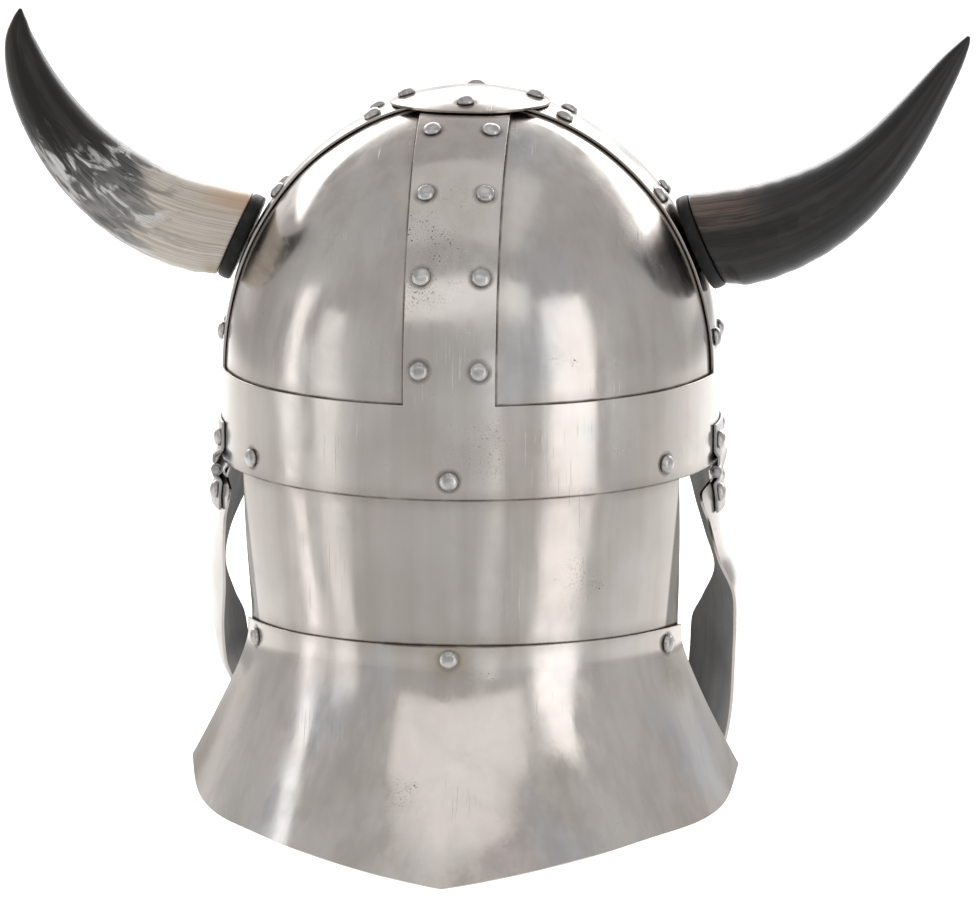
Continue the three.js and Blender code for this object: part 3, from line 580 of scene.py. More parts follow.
def make_hinge(side):
    sign = SIGN[side]
    half, middle = HINGE_LONG / 2, HINGE_MIDDLE / 2
    room = math.sqrt((BARREL + KNUCKLE_ROOM) ** 2 - STAND_OFF ** 2)

    def upper(y, z):
        bent = smooth(z, LEAF_FLAT, 2 * LEAF_FLAT)
        out = LEAF_X * (1 - bent) + (brow_side(y) + STACK) * bent
        return [sign * out, y, z]

    def lower(y, drop):
        at, out = cheek_at(side, y, max(drop, CHEEK_TOP))
        bent = smooth(drop, BARREL, LEAF_BEND)
        on_plate = sign * at[0] + STACK / abs(out[0])
        return [sign * (LEAF_X * (1 - bent) + on_plate * bent), y, PIN_Z - drop]

    wide = HINGE_Y[side] + np.linspace(half, -half, 27)
    tongue = HINGE_Y[side] + np.linspace(middle, -middle, 9)
    ends = [HINGE_Y[side] + np.linspace(hand * half, hand * (middle + HINGE_GAP), 9)
            for hand in (1, -1)]
    levels = np.linspace(PIN_Z + room, LEAF_HIGH + LEAF_FLAT, 16)
    top = [[upper(y, z) for y in wide] for z in levels]
    levels = np.linspace(PIN_Z + LEAF_INTO_KNUCKLE, PIN_Z + room + LEAF_OVERLAP, 4)
    down = [[upper(y, z) for y in tongue] for z in levels]
    leaf = [np.array(top), np.array(down)]
    knuckle = lathe_mesh(knuckle_rings(side, -middle, middle))
    plate(f"hinge_{side}_upper", leaf, "hinge_steel", nodes=[f"hinge_upper_leaf_{side}"],
          depth=0, edge=LEAF_ROUND)
    knuckle_object(f"hinge_{side}_upper_knuckle", knuckle, "helmet")

    body = f"cheek_{side}"
    foot = [[lower(y, d) for y in wide] for d in np.linspace(room, CHEEK_TOP + LEAF_HIGH, 16)]
    drops = np.linspace(LEAF_INTO_KNUCKLE, room + LEAF_OVERLAP, 4)
    ups = [np.array([[lower(y, d) for y in end] for d in drops]) for end in ends]
    plate(f"hinge_{side}_lower", [np.array(foot), *ups], "hinge_steel", body,
          [f"hinge_lower_leaf_{side}"], depth=0, edge=LEAF_ROUND)
    outer = [lathe_mesh(knuckle_rings(side, *sorted((hand * (middle + HINGE_GAP), hand * half))))
             for hand in (-1, 1)]
    knuckle_object(f"hinge_{side}_lower_knuckles", merge(outer), body)

    end = half + FIT
    head = end + PIN_HEAD_RISE
    profile = [(PIN_HEAD * 0.6, -head), (PIN_HEAD, -end - PIN_RIM), (PIN_HEAD, -end), (PIN, -end),
               (PIN, end), (PIN_HEAD, end), (PIN_HEAD, end + PIN_RIM), (PIN_HEAD * 0.6, head)]
    at = [sign * PIN_X, HINGE_Y[side], PIN_Z]
    pin = lathe_mesh(lathe(profile, 20, at, [0, 1, 0]))
    new_object(f"hinge_{side}_pin", *pin, "hinge_steel", nodes=[f"hinge_pin_{side}"])


def knuckle_rings(side, low, high):
    ease = KNUCKLE_EASE
    profile = [(BARREL * 0.6, low), (BARREL - ease, low), (BARREL, low + ease),
               (BARREL, high - ease), (BARREL - ease, high), (BARREL * 0.6, high)]
    return lathe(profile, 28, [SIGN[side] * PIN_X, HINGE_Y[side], PIN_Z], [0, 1, 0])


def knuckle_object(name, shape, body):
    obj = new_object(name, *shape, "hinge_steel", body)
    round_edges(obj, KNUCKLE_ROUND, 2, 40)


# Rivets

GRIP = 2 * SHEET + FIT


def rivet(at, out):
    """A round head that was hammered by hand, its shank and its flat tail."""
    tilt = rng.normal(0, RIVET_TILT, 3)
    along = out + tilt
    along /= np.linalg.norm(along)
    size = rng.uniform(RIVET_SMALLEST, 1.0)
    head = []
    for share in np.linspace(0, 1, 11):
        angle = share * math.pi / 2
        r = RIVET_HEAD / 2 * size * math.cos(angle) ** 0.86
        head.append((max(r, 0.12), RIVET_SEAT + RIVET_RISE * size * (0.12 + 0.83 * math.sin(angle))))
    start = [(RIVET_SHANK / 2, RIVET_SEAT - 0.2), (RIVET_SHANK / 2, RIVET_SEAT),
             (RIVET_HEAD / 2 * size * 0.96, RIVET_SEAT)]
    tail = [(0.3, -GRIP - RIVET_TAIL_RISE), (RIVET_TAIL / 2 * 0.85, -GRIP - RIVET_TAIL_RISE),
            (RIVET_TAIL / 2 * 1.1, -GRIP - RIVET_TAIL_RISE * 0.5), (RIVET_SHANK / 2, -GRIP - 0.1)]
    rings = lathe(tail + start + head, 24, at, along)
    phase = rng.uniform(0, AROUND, 3)
    local = (rings - at) / RIVET_HEAD
    dent = np.sin(local @ [6.0, 4.0, 5.0] + phase[0]) + np.sin(local @ [-5.0, 7.0, 3.0] + phase[1])
    rings = rings + np.asarray(out) * (dent * DENT)[..., None]
    return lathe_mesh(rings)


def band_spots(facing):
    rows = [RIVET_FIRST + row * RIVET_ROW for row in range(4)]
    if facing in ("left", "right"):
        rows = SIDE_ROWS
    return [on_dome(hand * RIVET_PAIR / 2, angle, facing) for angle in rows for hand in (-1, 1)]


def crown_spots():
    spots = []
    for facing in ("back", "front", "left", "right"):
        half = BROW[1] if facing in ("back", "front") else BROW[0]
        at, out = on_dome(0, math.degrees(math.acos(CROWN_RIVET / half)), facing)
        spots.append((at + out * (CROWN_FIT + SHEET), out))
    return spots


NECK_SPOTS = [on_oval(x, BROW, NECK_RIVET_RISE) for x in (NECK_RIVET, 0, -NECK_RIVET)]
FLARE_SPOTS = [on_oval(x, (NECK_HALF + STACK, BROW[1]),
                       -NECK_DROP - SEAM_SAG * abs(x / NECK_RIVET) - FLARE_RIVET_DROP)
               for x in (NECK_RIVET, 0, -NECK_RIVET)]


def make_rivets():
    facings = ("back", "front", "left", "right")
    groups = {f"{facing}_band": band_spots(facing) for facing in facings}
    groups.update(crown=crown_spots(), neck=NECK_SPOTS, flare=FLARE_SPOTS)
    for name, spots in groups.items():
        places = wobble([at for at, _ in spots], UNEVEN)
        parts = [rivet(at, out) for at, (_, out) in zip(places, spots)]
        nodes = [f"rivet_{name}_{i + 1}" for i in range(len(spots))]
        new_object(f"rivets_{name}", *merge(parts), "rivet_steel", nodes=nodes)
    for side in ("left", "right"):
        for where, spot, body in (("upper", upper_spot, "helmet"),
                                  ("lower", lower_spot, f"cheek_{side}")):
            parts = [rivet(*spot(side, hand)) for hand in (-1, 1)]
            new_object(f"rivets_hinge_{side}_{where}", *merge(parts), "rivet_steel", body)


# Horns

def make_horn(side):
    girth, reach, rise = HORNS[side]
    sign = SIGN[side]
    seat, out = on_dome(0, HORN_SEAT, side)
    ease = PLUG_EASE
    low, high = FIT, FIT + PLUG
    r = girth / 2
    profile = [(r * 0.5, low), (r - ease, low), (r, low + ease), (r + PLUG_BULGE, (low + high) / 2),
               (r, high - ease), (r - ease, high), (r * 0.5, high)]
    new_object(f"plug_{side}", *lathe_mesh(lathe(profile, HORN_SIDES, seat, out)), "plug_black",
               nodes=[f"horn_collar_{side}"])

    foot = seat + out * (high + FIT)
    rows = HORN_ROWS[side]
    path = np.array([[foot[0] + sign * o * reach, 0, foot[2] + u * rise] for o, u, _ in rows])
    length = np.concatenate([[0], np.cumsum(np.linalg.norm(np.diff(path, axis=0), axis=1))])
    xs = list(length / length[-1])
    shares = np.concatenate([[0, 0.004], np.linspace(0.012, 0.93, 100),
                             np.linspace(0.935, 1, 26)])
    columns = [list(path[:, 0]), list(path[:, 2]), [g * r for _, _, g in rows]]
    sides = HORN_SIDES
    verts, uvs = [], []
    points = np.array([[table(xs, columns[0], s), 0, table(xs, columns[1], s)] for s in shares])
    for k, s in enumerate(shares):
        before, after = points[max(k - 1, 0)], points[min(k + 1, len(shares) - 1)]
        along = (after - before) / np.linalg.norm(after - before)
        settle = smooth(s, 0, 0.14)
        along = out * (1 - settle) + along * settle
        along /= np.linalg.norm(along)
        up = np.cross([0, 1, 0], along)
        radius = table(xs, columns[2], s)
        if k == 0:
            radius -= 0.4
        for i in range(sides):
            a = 2 * math.pi * i / (sides - 1)
            rib = 1 + 0.006 * math.sin(s * 90 + 2 * math.sin(a)) * (1 - smooth(s, 0.25, 0.6))
            rib += 0.008 * math.sin(2 * a + 3 * s) + 0.005 * math.sin(5 * a + 1.5 + 4 * s)
            own = radius * min(rib, 1.015)
            verts.append(points[k] + up * own * math.cos(a)
                         + np.array([0, 1, 0]) * own * math.sin(a))
            uvs.append((i / (sides - 1), s))
    faces = grid_faces(len(shares), sides)
    faces.append(tuple(range(sides - 1))[::-1])
    faces.append(tuple((len(shares) - 1) * sides + i for i in range(sides - 1)))
    slot = "pale_horn" if side == "left" else "dark_horn"
    obj = new_object(f"horn_{side}_look", verts, faces, slot, nodes=[f"horn_{side}"], uvs=uvs)
    flip_if_inside_out(obj)
    weld = obj.modifiers.new("weld", "WELD")
    weld.merge_threshold = 0.01 * MM
    return obj


def flip_if_inside_out(obj):
    mesh = obj.data
    area = sum(p.area for p in mesh.polygons)
    middle = sum((p.center * p.area for p in mesh.polygons), Vector()) / area
    volume = sum(p.center.dot(p.normal) * p.area for p in mesh.polygons)
    volume -= sum(middle.dot(p.normal) * p.area for p in mesh.polygons)
    if volume < 0:
        mesh.flip_normals()


# Materials

class Shade:
    """A material whose nodes are written as sums."""

    def __init__(self, name):
        self.mat = bpy.data.materials.new(name)
        self.mat.use_nodes = True
        self.nodes = self.mat.node_tree.nodes
        self.links = self.mat.node_tree.links
        self.nodes.clear()
        self.place = self.node("ShaderNodeTexCoord").outputs["Object"]

    def put(self, socket, value):
        if isinstance(value, bpy.types.NodeSocket):
            self.links.new(value, socket)
        else:
            socket.default_value = value

    def node(self, kind, inputs=None, **settings):
        made = self.nodes.new(kind)
        for key, value in settings.items():
            setattr(made, key, value)
        for key, value in (inputs or {}).items():
            self.put(made.inputs[key], value)
        return made

    def math(self, operation, a, b=0.0, c=0.0):
        return self.node("ShaderNodeMath", {0: a, 1: b, 2: c}, operation=operation).outputs[0]

    def add(self, a, b):
        return self.math("ADD", a, b)

    def times(self, a, b):
        return self.math("MULTIPLY", a, b)

    def distance(self, place, at):
        """How far in metres a place lies from one given in millimetres."""
        made = self.node("ShaderNodeVectorMath", {0: place, 1: tuple(np.asarray(at) * MM)},
                         operation="DISTANCE")
        return made.outputs["Value"]

    def step(self, value, low, high, to_low=0.0, to_high=1.0):
        made = self.node("ShaderNodeMapRange", {"Value": value, "From Min": low, "From Max": high,
                                                "To Min": to_low, "To Max": to_high},
                         interpolation_type="SMOOTHSTEP")
        return made.outputs[0]

    def stretch(self, scale, turn=(0, 0, 0), place=None):
        made = self.node("ShaderNodeMapping", {"Vector": place or self.place, "Scale": scale,
                                               "Rotation": turn})
        return made.outputs[0]

    def noise(self, scale, detail=2.0, rough=0.5, vector=None, bend=0.0):
        made = self.node("ShaderNodeTexNoise", {"Vector": vector or self.place, "Scale": scale,
                                                "Detail": detail, "Roughness": rough,
                                                "Distortion": bend})
        return made.outputs[0]

    def cells(self, scale):
        made = self.node("ShaderNodeTexVoronoi", {"Vector": self.place, "Scale": scale,
                                                  "Randomness": 1.0})
        return made.outputs["Distance"]

    def mix(self, share, a, b):
        made = self.node("ShaderNodeMix", {0: share, 6: a, 7: b}, data_type="RGBA")
        return made.outputs[2]

    def bump(self, height, distance, strength=1.0, normal=None):
        inputs = {"Height": height, "Distance": distance, "Strength": strength}
        if normal is not None:
            inputs["Normal"] = normal
        return self.node("ShaderNodeBump", inputs).outputs[0]

    def axes(self):
        made = self.node("ShaderNodeSeparateXYZ", {0: self.place})
        return made.outputs[0], made.outputs[1], made.outputs[2]

    def finish(self, inputs):
        shader = self.node("ShaderNodeBsdfPrincipled", inputs)
        out = self.node("ShaderNodeOutputMaterial")
        self.links.new(shader.outputs[0], out.inputs["Surface"])
        return self.mat


def rgb(r, g, b):
    return (r, g, b, 1.0)


def nearest(s, places, folded):
    """Distance in metres from the nearest of some rivets."""
    best = None
    for at in places:
        away = s.distance(folded, at)
        best = away if best is None else s.math("MINIMUM", best, away)
    return best


def steel(name, seam=None, rivets=(), fold="", pits=(), tone=1.0, stain=(), shade=None, lone=(),
          edge=0.82):
    """Polished plate: soft reflections, upright streaks, tints, scratches, pits, and dirt and painted
    shade at the seams.

    seam gives the distance from a seam, where dirt and painted shade are laid, and rivets the places with
    dark rings round them, repeated across the axes in fold. lone holds more of them, repeated across x
    only. edge is how strongly the plate reflects at a low angle. shade gives where more painted shade
    lies, such as the unlit strips at the upper neck plate's ends.
    """
    s = Shade(name)
    x, y, z = s.axes()
    blotch = s.noise(16, 3, 0.55)
    cloud = s.noise(34, 4, 0.6, bend=0.4)
    streaks = s.noise(1.0, 3, 0.6, s.stretch((95, 95, 5)))
    hair = s.noise(1.0, 2, 0.5, s.stretch((900, 900, 22)))
    base = s.mix(s.step(blotch, 0.35, 0.68), rgb(0.58 * tone, 0.53 * tone, 0.49 * tone),
                 rgb(0.68 * tone, 0.64 * tone, 0.605 * tone))
    pink = s.step(s.noise(21, 3, 0.5, s.stretch((1, 1, 0.8), (0.4, 0.2, 0))), 0.52, 0.7)
    base = s.mix(s.times(pink, 0.4), base, rgb(0.65 * tone, 0.56 * tone, 0.54 * tone))
    blue = s.step(s.noise(19, 3, 0.5, s.stretch((1, 1, 0.7), (0.1, 0.9, 0.5))), 0.54, 0.72)
    base = s.mix(s.times(blue, 0.5), base, rgb(0.55 * tone, 0.575 * tone, 0.61 * tone))
    base = s.mix(s.step(streaks, 0.4, 0.75, 0, 0.2), base, rgb(0.75 * tone, 0.73 * tone, 0.715 * tone))
    base = s.mix(s.step(streaks, 0.55, 0.25, 0, 0.2), base, rgb(0.43 * tone, 0.395 * tone, 0.375 * tone))

    # Small dark specks, few on most of the plate
    speck = s.step(s.cells(430), 0.2, 0.12)
    grain = s.step(s.cells(1150), 0.3, 0.16)
    thinly = s.step(s.noise(42, 4, 0.65), 0.62, 0.74)
    for at, radius, amount in pits:
        near = s.step(s.distance(s.place, at), radius * MM, radius * 0.2 * MM, 0, amount)
        near = s.times(near, s.step(s.noise(75, 4, 0.7), 0.4, 0.54))
        thinly = s.math("MAXIMUM", thinly, near)
    dark = s.times(s.math("MAXIMUM", s.times(speck, 0.85), s.times(grain, 0.6)), thinly)
    base = s.mix(s.times(dark, 0.95), base, rgb(0.085, 0.07, 0.062))

    # Random dirt, dirt and painted shade along the seams where plate edges stand over each other, and
    # dark rings round the rivets' feet
    dirt_and_shade = s.times(s.step(cloud, 0.55, 0.85), 0.12)
    if seam is not None:
        away = seam(s, x, y, z)
        line = s.step(away, 0.0011, 0.0002, 0, 0.9)
        haze = s.step(away, 0.0065, 0.0, 0, 0.26)
        both = s.add(line, haze)
        broken = s.step(s.noise(60, 3, 0.6), 0.25, 0.7, 0.45, 1)
        dirt_and_shade = s.math("MAXIMUM", dirt_and_shade, s.times(both, broken))
    if len(rivets):
        folded = s.place
        if fold:
            folded = s.node("ShaderNodeCombineXYZ", {
                0: s.math("ABSOLUTE", x) if "x" in fold else x,
                1: s.math("ABSOLUTE", y) if "y" in fold else y, 2: z}).outputs[0]
        away = nearest(s, rivets, folded)
        if len(lone):
            aside = s.math("ABSOLUTE", x)
            mirrored = s.node("ShaderNodeCombineXYZ", {0: aside, 1: y, 2: z}).outputs[0]
            away = s.math("MINIMUM", away, nearest(s, lone, mirrored))
        ring = s.step(away, 0.0062, 0.0040, 0, 0.8)
        dirt_and_shade = s.math("MAXIMUM", dirt_and_shade, s.times(ring, s.step(s.noise(110, 3, 0.6), 0.3, 0.62, 0.35, 1)))
    # Random dirt and the painted shade at the seams share one dark colour
    base = s.mix(dirt_and_shade, base, rgb(0.17, 0.14, 0.12))
    for at, radius, amount, colour in stain:
        near = s.step(s.distance(s.place, at), radius * MM, radius * 0.3 * MM, 0, amount)
        near = s.times(near, s.step(s.noise(55, 3, 0.6), 0.35, 0.6, 0.3, 1))
        base = s.mix(near, base, rgb(*colour))

    if shade is not None:
        base = s.mix(s.times(shade(s, x, y, z), 0.8), base, rgb(0.075, 0.068, 0.058))

    # Fine scratches in three directions
    scratch = None
    for turn, scale in (((0.3, 0.2, 0.9), (2600, 30, 30)), ((0.9, 0.1, 2.0), (2200, 24, 24)),
                        ((0.1, 1.1, 0.2), (3000, 26, 40))):
        line = s.step(s.noise(1.0, 1, 0.5, s.stretch(scale, turn)), 0.70, 0.78)
        scratch = line if scratch is None else s.math("MAXIMUM", scratch, line)
    scratch = s.times(scratch, s.step(s.noise(28, 2, 0.5), 0.54, 0.7))
    gloss = s.add(0.16, s.step(cloud, 0.3, 0.7, -0.045, 0.07))
    gloss = s.add(gloss, s.step(streaks, 0.35, 0.65, -0.03, 0.04))
    gloss = s.add(gloss, s.times(scratch, 0.1))
    gloss = s.add(gloss, s.times(s.math("MAXIMUM", dark, dirt_and_shade), 0.28))
    soft = s.bump(s.noise(24, 1, 0.4), 0.0009, 0.25)
    grit = s.add(s.times(hair, 0.5), s.times(s.noise(420, 3, 0.6), 0.5))
    fine = s.bump(grit, 0.00002, 0.6, soft)
    deep = s.bump(s.times(s.add(dark, s.times(scratch, 0.3)), -1.0), 0.00018, 0.8, fine)
    return s.finish({"Base Color": base, "Metallic": 1.0, "Roughness": gloss, "Normal": deep,
                     "Anisotropic": 0.25, "Specular Tint": rgb(edge, edge, edge)})


def dull_steel(name, tone):
    """The unpolished inner faces."""
    s = Shade(name)
    blotch = s.noise(22, 4, 0.6)
    streaks = s.noise(1.0, 3, 0.6, s.stretch((120, 120, 8)))
    base = s.mix(blotch, rgb(tone * 0.75, tone * 0.72, tone * 0.7),
                 rgb(tone * 1.25, tone * 1.2, tone * 1.17))
    base = s.mix(s.step(streaks, 0.4, 0.7, 0, 0.5), base, rgb(tone * 1.6, tone * 1.55, tone * 1.5))
    rust = s.times(s.step(s.noise(70, 5, 0.7), 0.56, 0.72), 0.4)
    base = s.mix(rust, base, rgb(0.14, 0.085, 0.055))
    gloss = s.add(0.42, s.step(blotch, 0.3, 0.7, 0, 0.16))
    bump = s.bump(s.noise(260, 4, 0.65), 0.00012, 0.6, s.bump(s.noise(34, 2, 0.5), 0.0012, 0.5))
    return s.finish({"Base Color": base, "Metallic": 1.0, "Roughness": gloss, "Normal": bump})


def hinge_steel():
    s = Shade("hinge_steel_look")
    worn = s.noise(90, 4, 0.6)
    base = s.mix(s.step(worn, 0.3, 0.7), rgb(0.44, 0.425, 0.415), rgb(0.60, 0.585, 0.57))
    dirty = s.step(s.noise(260, 3, 0.6), 0.55, 0.75, 0, 0.25)
    base = s.mix(dirty, base, rgb(0.10, 0.08, 0.065))
    gloss = s.add(0.33, s.times(worn, 0.2))
    bump = s.bump(s.noise(500, 4, 0.6), 0.00008, 0.7)
    return s.finish({"Base Color": base, "Metallic": 1.0, "Roughness": gloss, "Normal": bump})


def rivet_steel():
    s = Shade("rivet_steel_look")
    worn = s.noise(210, 3, 0.6)
    base = s.mix(s.step(worn, 0.3, 0.7), rgb(0.46, 0.44, 0.43), rgb(0.70, 0.685, 0.68))
    speck = s.times(s.step(s.cells(1400), 0.28, 0.16), s.step(s.noise(160, 2, 0.5), 0.5, 0.62))
    base = s.mix(s.times(speck, 0.7), base, rgb(0.14, 0.11, 0.10))
    gloss = s.add(0.22, s.times(worn, 0.16))
    bump = s.bump(s.noise(330, 2, 0.5), 0.00022, 0.6)
    bump = s.bump(s.noise(1500, 2, 0.6), 0.00003, 0.6, bump)
    return s.finish({"Base Color": base, "Metallic": 1.0, "Roughness": gloss, "Normal": bump})


def black_plug():
    s = Shade("plug_black_look")
    worn = s.noise(120, 4, 0.6)
    base = s.mix(s.step(worn, 0.45, 0.75), rgb(0.010, 0.010, 0.010), rgb(0.035, 0.032, 0.030))
    gloss = s.add(0.32, s.times(worn, 0.2))
    bump = s.bump(s.noise(700, 3, 0.6), 0.00006, 0.7)
    return s.finish({"Base Color": base, "Roughness": gloss, "Normal": bump,
                     "Specular IOR Level": 0.22})


def horn_frame(s, upward):
    """Places on a horn: how far along it, the height round it, and a stretched place for fibres."""
    uv = s.node("ShaderNodeSeparateXYZ", {0: s.node("ShaderNodeTexCoord").outputs["UV"]})
    turn = s.times(uv.outputs[0], 2 * math.pi)
    up, aside = s.times(s.math("COSINE", turn), upward), s.math("SINE", turn)
    along = uv.outputs[1]
    ring = s.node("ShaderNodeCombineXYZ", {0: up, 1: aside, 2: along}).outputs[0]
    return along, up, ring


def pale_horn():
    """Cream and fibrous at the plug, mottled grey and white in the middle, near black to the tip."""
    s = Shade("pale_horn_look")
    along, up, ring = horn_frame(s, -1.0)
    fibre = s.noise(1.0, 4, 0.65, s.stretch((30, 30, 2.2), place=ring), 0.2)
    hair = s.noise(1.0, 3, 0.6, s.stretch((75, 75, 5), place=ring))
    flow = s.noise(1.0, 3, 0.55, s.stretch((2.6, 2.6, 5.5), place=ring), 0.5)
    moved = s.node("ShaderNodeVectorMath", {0: ring, 1: (3.1, 1.7, 0.4)}, operation="ADD").outputs[0]
    patch = s.noise(1.0, 3, 0.6, s.stretch((2.7, 2.7, 7.5), place=moved), 0.9)
    place = s.add(along, s.step(flow, 0.25, 0.75, -0.12, 0.12))
    cream = s.mix(s.step(fibre, 0.32, 0.68), rgb(0.50, 0.43, 0.35), rgb(0.80, 0.74, 0.66))
    cream = s.mix(s.step(hair, 0.5, 0.75, 0, 0.45), cream, rgb(0.92, 0.89, 0.84))
    tan = s.times(s.step(along, 0.17, 0.03), s.step(s.add(up, s.times(flow, 0.5)), 0.7, 1.1))
    cream = s.mix(s.times(tan, 0.7), cream, rgb(0.66, 0.42, 0.25))
    ochre = s.times(s.step(along, 0.07, 0.02), s.step(up, -0.55, -0.9))
    cream = s.mix(s.times(ochre, 0.8), cream, rgb(0.38, 0.28, 0.11))
    slate = s.mix(s.step(flow, 0.38, 0.62), rgb(0.055, 0.054, 0.056), rgb(0.36, 0.345, 0.325))
    slate = s.mix(s.step(fibre, 0.4, 0.75, 0, 0.45), slate, rgb(0.52, 0.50, 0.47))
    torn = s.step(s.add(fibre, s.times(hair, 0.5)), 0.5, 0.85, 0.35, 1)
    white = s.times(s.step(patch, 0.49, 0.62), torn)
    slate = s.mix(s.times(white, 0.9), slate, rgb(0.88, 0.865, 0.84))
    base = s.mix(s.step(place, 0.16, 0.3), cream, slate)
    black = s.mix(s.step(flow, 0.4, 0.7), rgb(0.010, 0.0085, 0.0075), rgb(0.036, 0.030, 0.026))
    reach = s.step(s.add(place, s.times(up, 0.06)), 0.34, 0.58)
    kept = s.times(s.times(white, 0.85), s.step(s.add(along, s.times(up, 0.08)), 0.62, 0.5))
    base = s.mix(s.times(reach, s.math("SUBTRACT", 1.0, kept)), base, black)
    gloss = s.add(0.3, s.times(hair, 0.1))
    grain = s.add(s.times(fibre, 0.6), s.times(hair, 0.4))
    bump = s.bump(grain, 0.0003, s.step(along, 0.5, 0.15, 0.15, 0.5))
    return s.finish({"Base Color": base, "Roughness": gloss, "Normal": bump, "Specular IOR Level": 0.28,
                     "Coat Weight": 0.4, "Coat Roughness": 0.09, "Coat IOR": 1.36})


def dark_horn():
    s = Shade("dark_horn_look")
    along, up, ring = horn_frame(s, 1.0)
    fibre = s.noise(1.0, 4, 0.65, s.stretch((30, 30, 3), place=ring), 0.3)
    flow = s.noise(1.0, 4, 0.6, s.stretch((4, 4, 3.5), place=ring), 0.6)
    base = s.mix(s.step(flow, 0.3, 0.7), rgb(0.009, 0.008, 0.0075), rgb(0.028, 0.025, 0.024))
    base = s.mix(s.step(fibre, 0.5, 0.8, 0, 0.35), base, rgb(0.065, 0.057, 0.052))
    warm = s.times(s.step(along, 0.26, 0.03), s.step(s.add(up, s.times(flow, 0.8)), 0.6, 1.2))
    base = s.mix(s.times(warm, s.step(fibre, 0.35, 0.65, 0.2, 0.9)), base, rgb(0.24, 0.16, 0.13))
    gloss = s.add(0.3, s.times(fibre, 0.12))
    bump = s.bump(fibre, 0.00022, 0.35)
    return s.finish({"Base Color": base, "Roughness": gloss, "Normal": bump, "Specular IOR Level": 0.28,
                     "Coat Weight": 0.45, "Coat Roughness": 0.09, "Coat IOR": 1.38})


def window_seam(s, x, y, z):
    """How far a place on a dome panel lies inside its window."""
    aside = s.math("MINIMUM", s.math("ABSOLUTE", x), s.math("ABSOLUTE", y))
    return s.math("MINIMUM", s.add(aside, -BAND / 2 * MM), s.add(z, -BROW_HIGH * MM))


def neck_seam(s, x, y, z):
    """Under the brow band's rim and above the lower plate."""
    share = s.math("POWER", s.times(x, 1 / (NECK_HALF * MM)), 2.0)
    seam = s.add(s.times(share, SEAM_SAG * MM), NECK_DROP * MM)
    return s.math("MINIMUM", s.times(z, -1.0), s.add(z, seam))


def neck_ends(s, x, y, z):
    """The narrow strips at the upper plate's ends that see no light, wider towards the foot."""
    start = s.add(s.times(z, NECK_END_WIDER_M / (NECK_DROP * MM)), NECK_END_M)
    return s.step(s.add(s.math("ABSOLUTE", x), s.times(start, -1.0)), 0.0, NECK_END_FADE_M)


def brow_seam(s, x, y, z):
    """The brow band's lower rim."""
    return s.math("ABSOLUTE", s.add(z, 0.0002))


def flare_seam(s, x, y, z):
    """The lower plate's upper edge."""
    return s.add(s.times(z, -1.0), -NECK_DROP * MM)


def put_on(obj, outer, inner):
    obj.data.materials.clear()
    obj.data.materials.append(outer)
    obj.data.materials.append(inner)


def paint():
    inside = dull_steel("steel_inside", 0.085)
    fold_spots = [at for facing in ("back", "left") for at, _ in band_spots(facing)
                  if at[0] > 0 and at[1] > 0]
    neck_places = [at for at, _ in NECK_SPOTS if at[0] >= 0]
    flare_places = [at for at, _ in FLARE_SPOTS if at[0] >= 0]
    crown_places = [at for at, _ in crown_spots() if at[0] >= -1e-6 and at[1] >= -1e-6]
    # Pitted spots and stains: place, radius and amount
    pits = [((14, 92, 98), 30, 1.0), ((22, 88, 104), 20, 1.0), ((2, 80, 118), 14, 0.5),
            ((-12, 106, 22), 22, 0.5), ((-70, 84, 22), 12, 0.6), ((30, 105, 10), 12, 0.5)]
    looks = {
        "skull_frame": steel("frame_steel", brow_seam, fold_spots, "xy", pits, lone=neck_places),
        "crown_disc": steel("crown_steel", None, crown_places, "xy", tone=0.88, edge=0.66),
        # The upper neck plate's tone of 0.93 makes a darker copy of the steel, which is painted shade.
        # The lower plate's tone of 1.1 makes a lighter copy, painted light for the brighter reflection of
        # its upturned face
        "neck_upper": steel("neck_steel", neck_seam, (), "", [((-55, 90, -38), 22, 0.35)],
                            tone=0.93, shade=neck_ends),
        "neck_lower": steel("flare_steel", flare_seam, flare_places, "x",
                            [((4, 140, -128), 5, 0.5)], tone=1.1,
                            stain=[((0, 113, -67), 14, 0.55, (0.42, 0.36, 0.25)),
                                   ((-86, 48, -84), 16, 0.35, (0.30, 0.24, 0.18))]),
    }
    panel = steel("panel_steel", window_seam)
    cheek = steel("cheek_steel", None, (), "", [((-105, 10, -70), 20, 0.5)])
    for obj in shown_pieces():
        name = obj.name
        if name.startswith("panel_"):
            outer = panel
        elif name.startswith("cheek_") and name.endswith("_plate"):
            outer = cheek
        elif name in looks:
            outer = looks[name]
        else:
            continue
        put_on(obj, outer, inside)
    simple = {"rivet": rivet_steel(), "hinge": hinge_steel(), "plug": black_plug(),
              "horn_left": pale_horn(), "horn_right": dark_horn()}
    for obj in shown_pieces():
        for start, look in simple.items():
            if obj.name.startswith(start):
                put_on(obj, look, look)


# Studio

def softbox(name, at, aim, size, bright):
    """A rectangular light that looks as bright as a white world of that strength."""
    light = bpy.data.lights.new(name, "AREA")
    light.shape = "RECTANGLE"
    light.size, light.size_y = size
    light.energy = bright * math.pi * size[0] * size[1]
    obj = bpy.data.objects.new(name, light)
    obj.location = at
    obj.rotation_euler = (Vector(aim) - Vector(at)).to_track_quat("-Z", "Y").to_euler()
    scene.collection.objects.link(obj)


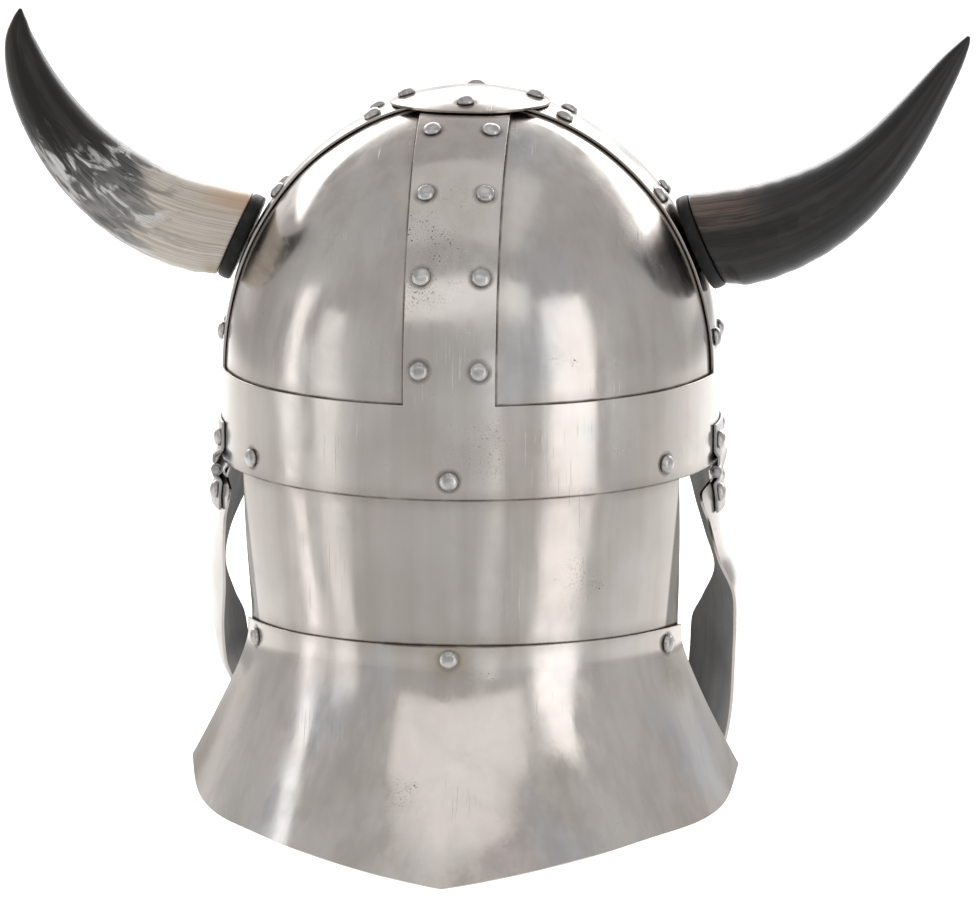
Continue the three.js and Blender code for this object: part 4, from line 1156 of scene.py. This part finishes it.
def studio():
    world = bpy.data.worlds.new("studio")
    world.use_nodes = True
    nodes, links = world.node_tree.nodes, world.node_tree.links
    nodes.clear()
    place = nodes.new("ShaderNodeTexCoord")
    parts = nodes.new("ShaderNodeSeparateXYZ")
    links.new(place.outputs["Generated"], parts.inputs[0])
    share = nodes.new("ShaderNodeMapRange")
    share.interpolation_type = "SMOOTHSTEP"
    share.inputs["From Min"].default_value = -0.96
    share.inputs["From Max"].default_value = -0.55
    share.inputs["To Min"].default_value = 1.3
    share.inputs["To Max"].default_value = 0.52
    links.new(parts.outputs[1], share.inputs["Value"])
    sky = nodes.new("ShaderNodeBackground")
    sky.inputs["Color"].default_value = (1, 1, 1, 1)
    links.new(share.outputs[0], sky.inputs["Strength"])
    out = nodes.new("ShaderNodeOutputWorld")
    links.new(sky.outputs[0], out.inputs["Surface"])
    scene.world = world

    aim = (0, 0, 0.02)
    softbox("left_strip", (1.35, 0.1, -0.03), (0, 0.06, -0.03), (0.2, 1.3), 1.0)
    softbox("left_box", (1.7, 0.78, 0.0), (0, 0, 0.0), (0.45, 1.35), 0.6)
    softbox("right_box", (-1.6, 1.15, 0.2), (0, 0, 0.2), (0.8, 1.75), 1.0)
    softbox("right_strip", (-0.75, 2.4, 0.0), (0, 0, 0.0), (0.3, 1.35), 0.4)
    softbox("camera_box", (-0.1, 2.6, 1.75), aim, (3.6, 0.9), 0.52)
    softbox("top_box", (0, 0.5, 2.4), aim, (2.4, 1.8), 0.2)
    softbox("back_box", (0, -4.4, 1.6), (0, -4.4, 0), (6.0, 5.0), 2.6)

    floor_at = cad_low.z - FLOOR_DROP_M
    mesh = bpy.data.meshes.new("floor")
    angles = [math.tau * k / FLOOR_CORNERS for k in range(FLOOR_CORNERS)]
    ring = [(FLOOR_REACH_M * math.cos(a), FLOOR_REACH_M * math.sin(a), floor_at) for a in angles]
    mesh.from_pydata(ring, [], [tuple(range(FLOOR_CORNERS))])
    floor = bpy.data.objects.new("floor", mesh)
    scene.collection.objects.link(floor)
    s = Shade("floor_pale")
    tint = s.mix(s.noise(3, 2, 0.5), rgb(0.94, 0.94, 0.94), rgb(0.96, 0.96, 0.96))
    mesh.materials.append(s.finish({"Base Color": tint, "Roughness": 0.9}))

    camera = bpy.data.cameras.new("camera")
    view = bpy.data.objects.new("camera", camera)
    scene.collection.objects.link(view)
    scene.camera = view
    turn, lift = math.radians(VIEW_TURN), math.radians(VIEW_LIFT)
    level = math.cos(lift)
    back = Vector((math.sin(turn) * level, -math.cos(turn) * level, math.sin(lift)))
    view.location = Vector(VIEW_TARGET_M) + back * VIEW_AWAY_M
    view.rotation_euler = (-back).to_track_quat("-Z", "Y").to_euler()
    camera.sensor_width = 36
    camera.lens = VIEW_LENS
    camera.shift_x, camera.shift_y = VIEW_SHIFT
    camera.clip_start, camera.clip_end = 0.1, 60
    scene.view_settings.view_transform = "Standard"
    scene.view_settings.exposure = 0.0


make_frame()
for name, sx, sy in (("back_left", 1, 1), ("back_right", -1, 1),
                     ("front_left", 1, -1), ("front_right", -1, -1)):
    make_panel(name, sx, sy)
make_crown()
make_neck()
for side in ("left", "right"):
    make_hinge(side)
    make_cheek(side)
    make_horn(side)
make_rivets()
paint()
studio()
